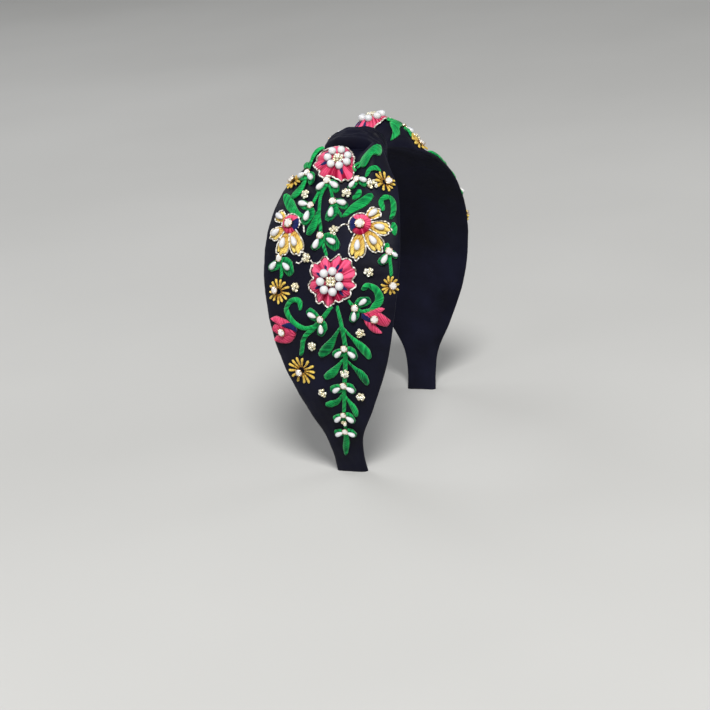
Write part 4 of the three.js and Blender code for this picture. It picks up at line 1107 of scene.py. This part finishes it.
class HeadbandColours(bpy.types.PropertyGroup):
    """Colours of the cloth, threads, beads and stones"""

    cloth_deep: colour_property("Cloth, deep", "Cloth in its deeper dye", (0.0015, 0.0015, 0.006))
    # The lighter dye, which also gives the painted sheen on the weave's raised ribs
    cloth_lit: colour_property("Cloth, light", "Cloth in its lighter dye", (0.005, 0.0055, 0.018))
    green_deep: colour_property("Green, deep", "Deep tone of the leaves", (0.0, 0.075, 0.025))
    green: colour_property("Green, bright", "Bright tone of the leaves", (0.02, 0.62, 0.14))
    pink_deep: colour_property("Pink, deep", "Red tone of the petals", (0.28, 0.002, 0.03))
    pink: colour_property("Pink, bright", "Light tone of the petals", (0.95, 0.12, 0.26))
    navy_deep: colour_property("Navy, deep", "Deep tone of the navy stitches", (0.006, 0.008, 0.05))
    navy: colour_property("Navy, bright", "Light tone of the navy stitches", (0.016, 0.025, 0.13))
    yellow_deep: colour_property("Yellow, deep", "Deep tone of the fan flowers", (0.4, 0.17, 0.015))
    yellow: colour_property("Yellow, bright", "Light tone of the fan flowers", (0.95, 0.74, 0.2))
    gold_deep: colour_property("Gold, deep", "Deep tone of the daisies", (0.3, 0.13, 0.01))
    gold: colour_property("Gold, bright", "Light tone of the daisies", (0.92, 0.68, 0.14))
    cord_deep: colour_property("Cord, deep", "Shade in the outline cord", (0.2, 0.16, 0.12))
    cord: colour_property("Cord", "Outline cord", (1.0, 0.98, 0.93))
    pearl: colour_property("Pearl", "Body of the pearls", (0.74, 0.76, 0.79))
    pearl_warm: colour_property("Pearl, warm", "Warmer patches of the pearls", (0.8, 0.77, 0.74))
    # Painted shade that the pearls take on at their edges
    pearl_painted_edge_shade: colour_property("Pearl, rim", "Edge of the pearls", (0.42, 0.46, 0.56))
    stone: colour_property("Stone", "Clear stones", (0.95, 0.95, 0.95))
    stone_warm: colour_property("Stone, warm", "Warmer patches of the stones", (0.95, 0.88, 0.8))
    claw_deep: colour_property("Claw, deep", "Shaded setting metal", (0.55, 0.4, 0.26))
    claw: colour_property("Claw", "Setting metal", (0.85, 0.68, 0.48))
    bead_deep: colour_property("Seed bead, deep", "Deeper seed beads", (0.75, 0.66, 0.4))
    bead: colour_property("Seed bead", "Lighter seed beads", (1.0, 0.99, 0.9))
    floor_deep: colour_property("Floor, deep", "Darker patches of the floor", (0.5, 0.5, 0.49))
    floor: colour_property("Floor", "Pale floor", (0.54, 0.54, 0.53))


def band_grid():
    """The band's outer and under surfaces as one closed tube of points, from tip to tip."""
    along = np.arange(-BAND_END, BAND_END + BAND_STEP / 2, BAND_STEP)[:, None]
    upper = np.sin(np.linspace(-math.pi / 2, math.pi / 2, OVER_STOPS))[None, :]
    under = np.sin(np.linspace(math.pi / 2, -math.pi / 2, UNDER_STOPS))[None, 1:-1]
    half = half_width(along)
    thickness = sizes().band_thickness / MM
    over_across, under_across = upper * half, under * half
    place = along + 0 * over_across
    over = over_arch(place, over_across, cloth_height(place, over_across))
    place = along + 0 * under_across
    depth = -thickness - edge_drop(under) + 0.5 * puckers(place, under_across)
    across = np.concatenate([over_across, under_across], axis=1)
    points = np.concatenate([over, over_arch(place, under_across, depth)], axis=1)
    return points, np.stack([along + 0 * across, across], axis=-1)


def mended(piece, change):
    """Runs a change on a piece's mesh and turns all of its faces outwards."""
    shape = bmesh.new()
    shape.from_mesh(piece.data)
    change(shape)
    bmesh.ops.recalc_face_normals(shape, faces=shape.faces)
    shape.to_mesh(piece.data)
    shape.free()


def cut_level(shape):
    """Cuts the band's ends off level at the floor and closes them."""
    everything = shape.verts[:] + shape.edges[:] + shape.faces[:]
    bmesh.ops.bisect_plane(shape, geom=everything, plane_co=(0, 0, 0), plane_no=(0, 0, 1), clear_inner=True)
    rims = [edge for edge in shape.edges if edge.is_boundary]
    bmesh.ops.holes_fill(shape, edges=rims, sides=0)


def close_seam(shape):
    bmesh.ops.remove_doubles(shape, verts=shape.verts, dist=1e-7)


class HEADBAND_OT_band(bpy.types.Operator):
    """Make the padded, cloth-covered band with its gathers by the knot"""

    bl_idname = "headband.band"
    bl_label = "Band"

    def execute(self, context):
        points, coordinate = band_grid()
        work = Work()
        work.patch(points, coordinate, 0.5, ring=True, caps=True)
        piece = work.piece("band_cloth", "cloth", "band")
        mended(piece, cut_level)
        return {"FINISHED"}


def rounded(value, power):
    """A sine or cosine with its sign, squared up or rounded by a power."""
    return math.copysign(abs(value) ** power, value)


def wrap_section(turn, stops):
    """One section of the wrap: flat inside, domed and pleated outside."""
    thickness = sizes().band_thickness / MM
    shift = smooth_row(WRAP_PATH, turn, 1)
    half = smooth_row(WRAP_PATH, turn, 2)
    angle = math.radians(turn)
    lift, level = math.sin(angle), math.cos(angle)
    inner_reach = thickness / 2 + WRAP_CLEARANCE
    inner_height = inner_reach * rounded(lift, INSIDE_POWER) - thickness / 2
    if lift > 0:
        reach = sizes().wrap_height / MM + thickness / 2
        slope, power = WRAP_RISE - WRAP_SLOPE * level, TOP_POWER
    else:
        reach = inner_reach + WRAP_UNDER_THICKNESS
        slope, power = 1.0, UNDER_POWER
    outer_height = slope * reach * rounded(lift, power) - thickness / 2
    along = shift + stops * half
    neck = half_width(along) + WRAP_CLEARANCE
    inner_across = neck * rounded(level, INSIDE_POWER)
    outer_across = (neck + WRAP_SIDE_THICKNESS) * rounded(level, SIDE_POWER)
    dome = np.sqrt(np.maximum(0, 1 - np.abs(stops) ** 3))
    drift = FOLD_DRIFT * math.sin(angle + 0.6)
    fold = np.abs(np.sin(math.pi * (1.6 * (stops + drift) + 0.3))) ** 0.55
    pleat = np.abs(np.sin(math.pi * (3.7 * stops - 2.2 * drift + 0.1))) ** 0.7
    ruck = sum(depth * np.sin(a * angle + b * stops) for depth, a, b in RUCKS)
    swell = np.maximum(WRAP_LEAST, dome * (WRAP_PLAIN + WRAP_FOLD * fold + WRAP_PLEAT * pleat + ruck))
    outer = over_arch(
        along,
        inner_across + (outer_across - inner_across) * swell,
        inner_height + (outer_height - inner_height) * swell,
    )
    within = shift + np.linspace(WRAP_FLAT, -WRAP_FLAT, INNER_STOPS) * half
    neck = half_width(within) + WRAP_CLEARANCE
    return np.concatenate([outer, over_arch(within, neck * rounded(level, INSIDE_POWER), inner_height)])


class HEADBAND_OT_knot_wrap(bpy.types.Operator):
    """Make the pleated wrap of cloth round the band's neck"""

    bl_idname = "headband.knot_wrap"
    bl_label = "Knot wrap"

    def execute(self, context):
        stops = np.sin(np.linspace(-math.pi / 2, math.pi / 2, WRAP_STOPS))
        turns = np.linspace(0, 360, WRAP_TURNS, endpoint=False)
        sections = np.stack([wrap_section(turn, stops) for turn in turns])
        closed = np.concatenate([sections, sections[:1]])
        run, aside = np.linspace(0, WRAP_LENGTH, len(closed)), np.linspace(0, WRAP_WIDTH, closed.shape[1])
        coordinate = np.stack(np.meshgrid(run, aside, indexing="ij"), axis=-1)
        work = Work()
        work.patch(closed, coordinate, 0.5, ring=True)
        piece = work.piece("knot_wrap_cloth", "cloth", "knot_wrap")
        mended(piece, close_seam)
        return {"FINISHED"}


def petal_ring(corners):
    """Reach, height and tone round a flower, from the tips and notches of its petals."""
    angles = np.radians([corner[0] for corner in corners])
    reaches = np.array([corner[1] for corner in corners], float)

    def outline(angle):
        return np.interp(angle, angles, reaches, period=2 * math.pi)

    def fold(angle):
        """From 0 in a notch between petals to 1 at a tip."""
        near = np.mean([outline(angle + step) for step in (-0.3, -0.15, 0.15, 0.3)], axis=0)
        return np.clip(0.5 + (outline(angle) - near) / 2.2, 0, 1)

    def swell(angle):
        return NOTCH_HEIGHT + TIP_RISE * fold(angle) ** 0.7

    def tone(angle, reach):
        up = FLOWER_TONE - TONE_FALL * np.cos(angle)[:, None]
        # Painted shade darkens the notches between petals and painted light brightens the tips
        return up + NOTCH_PAINTED_SHADE * (fold(angle)[:, None] - 0.5) + OUTER_TONE * (reach - TONE_REACH)

    return outline, swell, tone


class HEADBAND_OT_pearl_flowers(bpy.types.Operator):
    """Make the pink flowers with their pearls, beaded middles and cord outlines"""

    bl_idname = "headband.pearl_flowers"
    bl_label = "Pearl flowers"

    def execute(self, context):
        random = np.random.default_rng(SEED)
        count = sizes().pearls_per_flower
        for panel in PANELS:
            pearls, beads, cords, accents = Work(), Work(), Work(), Work()
            for name, along, across, ring, first, corners, navy_angles in PEARL_FLOWERS:
                outline, swell, tone = petal_ring(corners)
                centre = np.array([along, across], float)
                petals = Work()
                radial_satin(petals, panel, centre, FLOWER_INNER, outline, swell, tone=tone)
                petals.piece(f"{panel.name}_{name}_petals", "pink", f"{panel.name}_{name}")
                angles = np.linspace(0, 2 * math.pi, CORD_POINTS, endpoint=False)
                reach = outline(angles) + CORD_BEYOND + random.uniform(-CORD_STRAY, CORD_STRAY, CORD_POINTS)
                line = np.stack([along + reach * np.cos(angles), across + reach * np.sin(angles)], axis=1)
                cord_along(cords, panel, line, closed=True)
                for degrees in navy_angles:
                    way = toward(math.radians(degrees))
                    line = [centre + (ring + more) * way for more in NAVY_REACHES]
                    satin_stroke(accents, panel, line, NAVY_WIDTHS, NAVY_HEIGHT, (0.4, 0.6), lift=NAVY_LIFT)
                pearl = sizes().pearl_radius / MM * min(1, ring / FULL_RING)
                for k in range(count):
                    place = centre + ring * toward(math.radians(first) + 2 * math.pi * k / count)
                    height = CLOTH_GAP + pearl + random.uniform(0.1, 0.4)
                    round_pearl(pearls, panel, (*place, height), pearl)
                bead_mound(beads, panel, along, across, random)
            make_pieces(panel, "flower", [
                ("pearls", pearls, "pearl"),
                ("middles", beads, "bead"),
                ("cords", cords, "cord"),
                ("accents", accents, "navy"),
            ])
        return {"FINISHED"}


def petal_place(row, share, aside):
    """A chart place in a fan petal: share of the way from heart to tip, and a distance aside."""
    base, tip = np.array(row[0]), np.array(row[1])
    run = tip - base
    ahead = run / np.linalg.norm(run)
    return base + run * share + np.array([-ahead[1], ahead[0]]) * aside


def fan_petal(panel, yellow, cords, pearls, row, width, heart, shade_shift):
    """One petal: three fingers of satin stitch, a cord round them and a drop pearl."""
    start = (heart - HEART_OVERLAP) / length_of(row)
    for lean, end, share, shade in FAN_FINGERS:
        line = [petal_place(row, start + s * (end - start), w * lean * width) for s, w in FINGER_STOPS]
        line.append(petal_place(row, end, FINGER_END * lean * width))
        widths = [part * share * width for part in FINGER_WIDTHS]
        height = FINGER_HEIGHT + MIDDLE_FINGER_MORE * (lean == 0)
        tone = (FINGER_DEEP, shade + FINGER_LIGHTER + shade_shift)
        satin_stroke(yellow, panel, line, widths, height, tone, FINGER_LEAN)
    edge = [(start + more, wide) for more, wide in FAN_EDGE_NEAR] + FAN_EDGE_FAR
    outline = [petal_place(row, s, w * width) for s, w in edge]
    outline += [petal_place(row, s - 0.02, -w * width) for s, w in reversed(edge)]
    cord_along(cords, panel, outline)
    place = (*petal_place(row, start + FAN_PEARL_AT * (1 - start), 0), CLOTH_GAP + FAN_PEARL_HEIGHT)
    heading = math.atan2(row[1][1] - row[0][1], row[1][0] - row[0][0])
    drop_pearl(pearls, panel, place, heading, FAN_PEARL_LENGTH, FAN_PEARL_WIDTH)


def fan_heart(panel, hearts, accents, cords, middle, heart, navy, tips):
    """The round heart: pink threads, a navy wedge, and a cord where no petal starts."""

    def outline(angle):
        return np.full_like(angle, heart) + HEART_WAVE * np.cos(3 * angle)

    def low(angle):
        return np.full_like(angle, HEART_HEIGHT)

    def shade(angle, radius):
        return 0.45 - 0.35 * np.cos(angle)[:, None] + 0 * radius

    pink_turns = (navy + NAVY_SPREAD, navy - NAVY_SPREAD + 2 * math.pi)
    navy_turns = (navy - NAVY_SPREAD, navy + NAVY_SPREAD)
    radial_satin(hearts, panel, middle, HEART_INNER, outline, low, pink_turns, shade)
    radial_satin(accents, panel, middle, HEART_INNER, outline, low, navy_turns)
    rim = np.linspace(0, 2 * math.pi, HEART_CORD_POINTS, endpoint=False)
    free = [
        a for a in rim if all(abs(math.remainder(a - tip, 2 * math.pi)) > PETAL_SPREAD for tip in tips)
    ]
    first = max(range(len(free)), key=lambda i: (free[i] - free[i - 1]) % (2 * math.pi))
    reach = heart + HEART_CORD_GAP
    cord_along(cords, panel, [middle + reach * toward(a) for a in free[first:] + free[:first]])


class HEADBAND_OT_fan_flowers(bpy.types.Operator):
    """Make the yellow fan flowers with pink hearts, drop pearls, stones and cord outlines"""

    bl_idname = "headband.fan_flowers"
    bl_label = "Fan flowers"

    def execute(self, context):
        for panel in PANELS:
            pearls, cords, hearts, accents, stones, claws = (Work() for _ in range(6))
            for name, along, across, heart, petals, navy_middle in FAN_FLOWERS:
                yellow = Work()
                middle = np.array([along, across], float)
                for k, (tip_along, tip_across, width) in enumerate(petals):
                    row = (middle, (tip_along, tip_across))
                    fan_petal(panel, yellow, cords, pearls, row, width, heart, 0.1 * math.sin(2 * k))
                yellow.piece(f"{panel.name}_{name}_petals", "yellow", f"{panel.name}_{name}")
                tips = [math.atan2(t[1] - across, t[0] - along) for t in petals]
                fan_heart(panel, hearts, accents, cords, middle, heart, math.radians(navy_middle), tips)
                set_stone(stones, claws, panel, along, across, FAN_STONE, FAN_STONE_LIFT)
            for run in LOOSE_CORDS:
                cord_along(cords, panel, run, lift=0.0)
            make_pieces(panel, "fan", [
                ("pearls", pearls, "pearl"),
                ("cords", cords, "cord"),
                ("hearts", hearts, "pink"),
                ("accents", accents, "navy"),
                ("stones", stones, "stone"),
                ("claws", claws, "claw"),
            ])
        return {"FINISHED"}


class HEADBAND_OT_daisies(bpy.types.Operator):
    """Make the gold daisies, each with slender satin petals and a cut stone"""

    bl_idname = "headband.daisies"
    bl_label = "Daisies"

    def execute(self, context):
        random = np.random.default_rng(SEED + 1)
        for panel in PANELS:
            stones, claws = Work(), Work()
            for name, along, across, radius, petals, stone_along, stone_across in DAISIES:
                gold = Work()
                middle = np.array([along, across], float)
                for k in range(petals):
                    way = toward(2 * math.pi * (k + random.uniform(-0.14, 0.14)) / petals)
                    reach = radius * random.uniform(0.88, 1.06)
                    bow = random.uniform(-0.35, 0.35) * np.array([-way[1], way[0]])
                    line = [
                        middle + DAISY_START * radius * way,
                        middle + DAISY_BEND * reach * way + bow,
                        middle + reach * way,
                    ]
                    tone = (0.0, random.uniform(0.75, 1.0))
                    satin_stroke(gold, panel, line, DAISY_WIDTHS, DAISY_HEIGHT, tone, DAISY_LEAN)
                gold.piece(f"{panel.name}_{name}_petals", "gold", f"{panel.name}_{name}")
                set_stone(stones, claws, panel, stone_along, stone_across, DAISY_STONE, DAISY_STONE_LIFT)
            make_pieces(panel, "daisy", [("stones", stones, "stone"), ("claws", claws, "claw")])
        return {"FINISHED"}


class HEADBAND_OT_tulips(bpy.types.Operator):
    """Make the pink tulips with navy bases and a cut stone"""

    bl_idname = "headband.tulips"
    bl_label = "Tulips"

    def execute(self, context):
        for panel in PANELS:
            stones, claws, navy = Work(), Work(), Work()
            for name, stone_place, blades in TULIPS:
                pink = Work()
                for k, (thread, line, widths) in enumerate(blades):
                    chosen, lift = (navy, TULIP_BASE_LIFT) if thread == "navy" else (pink, BLADE_LIFT * k)
                    tone = (0.25, 0.75 - 0.15 * k)
                    satin_stroke(chosen, panel, line, widths, TULIP_HEIGHT, tone, TULIP_LEAN, lift=lift)
                pink.piece(f"{panel.name}_{name}_petals", "pink", f"{panel.name}_{name}")
                set_stone(stones, claws, panel, *stone_place, TULIP_STONE, TULIP_STONE_LIFT)
            make_pieces(panel, "tulip", [
                ("stones", stones, "stone"),
                ("claws", claws, "claw"),
                ("accents", navy, "navy"),
            ])
        return {"FINISHED"}


def sprig_pad(panel, green, pearls, middle, tip):
    """One leaf pad of a sprig and the drop pearl on it."""
    run = np.array(tip) - middle
    length = np.linalg.norm(run)
    widths = [share * length + more for share, more in PAD_WIDTHS]
    line = [middle + share * run for share in PAD_STOPS]
    height = sizes().leaf_height / MM
    # The pad gets a painted highlight on its edges and painted shade in its middle
    satin_stroke(green, panel, line, widths, height, PAD_TONE, PAD_LEAN, PAD_SHOULDER, rim=PAD_PAINTED_HIGHLIGHT)
    nearer = max(0, min(1, (GROWTH_FROM - middle[0]) / GROWTH_RUN))
    size = min(1.0, length / FULL_PAD) * (1 + PEARL_GROWTH * nearer)
    place = (*(middle + run * PAD_PEARL_AT), CLOTH_GAP + PAD_PEARL_HEIGHT)
    heading = math.atan2(run[1], run[0])
    drop_pearl(pearls, panel, place, heading, PAD_PEARL_LENGTH * size, PAD_PEARL_WIDTH * size)


class HEADBAND_OT_sprays(bpy.types.Operator):
    """Make the green stems, leaves and curls, and the sprigs with drop pearls and stones"""

    bl_idname = "headband.sprays"
    bl_label = "Sprays"

    def execute(self, context):
        height = sizes().leaf_height / MM
        for panel in PANELS:
            pearls, stones, claws = Work(), Work(), Work()
            for name, strokes in SPRAYS.items():
                green = Work()
                for k, (kind, line, widths) in enumerate(strokes):
                    tone = GREEN_TONE + GREEN_DRIFT * math.sin(1.7 * k + 0.4)
                    # rim paints a highlight on the edges of leaves and stems, and painted shade along their
                    # middles
                    lean, rim, share = LEAF_LOOK if kind == "leaf" else STEM_LOOK
                    satin_stroke(green, panel, line, widths, height * share, tone, lean, rim=rim)
                for sprig, along, across, tips in SPRIGS:
                    if sprig == name:
                        for tip in tips:
                            sprig_pad(panel, green, pearls, np.array([along, across], float), tip)
                        share = SMALL_SPRIG_STONE if along > SMALL_STONES_FROM else SPRIG_STONE
                        set_stone(stones, claws, panel, along, across, share)
                green.piece(f"{panel.name}_{name}_stitches", "green", f"{panel.name}_{name}")
            make_pieces(panel, "sprig", [
                ("pearls", pearls, "pearl"),
                ("stones", stones, "stone"),
                ("claws", claws, "claw"),
            ])
        return {"FINISHED"}


class HEADBAND_OT_seed_beads(bpy.types.Operator):
    """Make the small clusters of champagne seed beads"""

    bl_idname = "headband.seed_beads"
    bl_label = "Seed beads"

    def execute(self, context):
        random = np.random.default_rng(SEED + 2)
        for panel in PANELS:
            beads = Work()
            for along, across, count in CLUSTERS:
                bead_cluster(beads, panel, along, across, count, random)
            beads.piece(f"{panel.name}_seed_beads", "bead")
        return {"FINISHED"}


# The camera's target, its turn round it and its distance, in metres and degrees
VIEW_TARGET = (0.0, 0.0142, 0.039)
VIEW_AZIMUTH = -67.5
VIEW_ELEVATION = 20.0
VIEW_ROLL = -6.53
VIEW_DISTANCE = 0.95
LENS = 95.3
SENSOR = 36.0

# Lamps: name, place, size, power, tint
LAMPS = [
    ("key_softbox", (-1.0, -0.5, 1.6), 0.6, 36, (1.0, 0.99, 0.97)),
    ("fill_softbox", (0.9, -1.5, 0.9), 1.2, 5, (0.95, 0.97, 1.0)),
    ("back_softbox", (0.5, 1.3, 1.2), 1.2, 9, (0.97, 0.98, 1.0)),
    ("left_softbox", (-1.5, 0.9, 0.7), 1.0, 4, (1.0, 1.0, 1.0)),
]
LAMP_TARGET = (0, 0, 0.08)
BACKDROP, BACKDROP_STRENGTH = (0.42, 0.42, 0.415, 1), 0.5
FLOOR_SIDES, FLOOR_REACH = 96, 6.0


def add_camera():
    azimuth, elevation = math.radians(VIEW_AZIMUTH), math.radians(VIEW_ELEVATION)
    roll = math.radians(VIEW_ROLL)
    back = Vector((
        math.sin(azimuth) * math.cos(elevation),
        -math.cos(azimuth) * math.cos(elevation),
        math.sin(elevation),
    ))
    level = Vector((math.cos(azimuth), math.sin(azimuth), 0))
    upright = back.cross(level)
    right = level * math.cos(roll) + upright * math.sin(roll)
    above = upright * math.cos(roll) - level * math.sin(roll)
    data = bpy.data.cameras.new("camera")
    data.lens = LENS
    data.sensor_width = SENSOR
    data.clip_start, data.clip_end = 0.01, 50
    camera = bpy.data.objects.new("camera", data)
    turn = Matrix((right, above, back)).transposed().to_4x4()
    camera.matrix_world = Matrix.Translation(Vector(VIEW_TARGET) + back * VIEW_DISTANCE) @ turn
    bpy.context.scene.collection.objects.link(camera)
    bpy.context.scene.camera = camera


def add_floor():
    """A wide plain disc that reaches past any view."""
    mesh = bpy.data.meshes.new("floor")
    shape = bmesh.new()
    bmesh.ops.create_circle(shape, cap_ends=True, segments=FLOOR_SIDES, radius=FLOOR_REACH)
    shape.to_mesh(mesh)
    shape.free()
    mesh.materials.append(material("floor"))
    floor = bpy.data.objects.new("floor", mesh)
    bpy.context.scene.collection.objects.link(floor)


def add_lamp(name, place, size, power, tint):
    data = bpy.data.lights.new(name, "AREA")
    data.shape = "DISK"
    data.size = size
    data.energy = power
    data.color = tint
    lamp = bpy.data.objects.new(name, data)
    lamp.location = place
    lamp.rotation_mode = "QUATERNION"
    lamp.rotation_quaternion = (Vector(LAMP_TARGET) - Vector(place)).to_track_quat("-Z", "Y")
    bpy.context.scene.collection.objects.link(lamp)


class HEADBAND_OT_stage(bpy.types.Operator):
    """Make the camera, the pale floor and the soft studio light"""

    bl_idname = "headband.stage"
    bl_label = "Stage"

    def execute(self, context):
        add_camera()
        add_floor()
        for lamp in LAMPS:
            add_lamp(*lamp)
        world = bpy.data.worlds.new("studio")
        world.use_nodes = True
        backdrop = world.node_tree.nodes["Background"]
        backdrop.inputs["Color"].default_value = BACKDROP
        backdrop.inputs["Strength"].default_value = BACKDROP_STRENGTH
        context.scene.world = world
        context.scene.view_settings.view_transform = "Standard"
        return {"FINISHED"}


class HEADBAND_PT_panel(bpy.types.Panel):
    """The headband's operators and settings"""

    bl_idname = "HEADBAND_PT_panel"
    bl_label = "Headband"
    bl_space_type = "VIEW_3D"
    bl_region_type = "UI"
    bl_category = "Headband"

    def draw(self, context):
        for operator in OPERATORS:
            self.layout.operator(operator.bl_idname)
        for group in (context.scene.headband_sizes, context.scene.headband_colours):
            box = self.layout.box()
            for name in group.bl_rna.properties.keys():
                if name not in ("rna_type", "name"):
                    box.prop(group, name)


OPERATORS = [
    HEADBAND_OT_stage,
    HEADBAND_OT_band,
    HEADBAND_OT_knot_wrap,
    HEADBAND_OT_pearl_flowers,
    HEADBAND_OT_fan_flowers,
    HEADBAND_OT_daisies,
    HEADBAND_OT_tulips,
    HEADBAND_OT_sprays,
    HEADBAND_OT_seed_beads,
]
CLASSES = [HeadbandSizes, HeadbandColours, *OPERATORS, HEADBAND_PT_panel]


def register():
    for item in CLASSES:
        bpy.utils.register_class(item)
    bpy.types.Scene.headband_sizes = PointerProperty(type=HeadbandSizes)
    bpy.types.Scene.headband_colours = PointerProperty(type=HeadbandColours)


def unregister():
    del bpy.types.Scene.headband_colours
    del bpy.types.Scene.headband_sizes
    for item in reversed(CLASSES):
        bpy.utils.unregister_class(item)


def main():
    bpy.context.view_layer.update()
    register()
    bpy.ops.headband.stage()
    bpy.ops.headband.band()
    bpy.ops.headband.knot_wrap()
    bpy.ops.headband.pearl_flowers()
    bpy.ops.headband.fan_flowers()
    bpy.ops.headband.daisies()
    bpy.ops.headband.tulips()
    bpy.ops.headband.sprays()
    bpy.ops.headband.seed_beads()


if __name__ == "__main__":
    main()
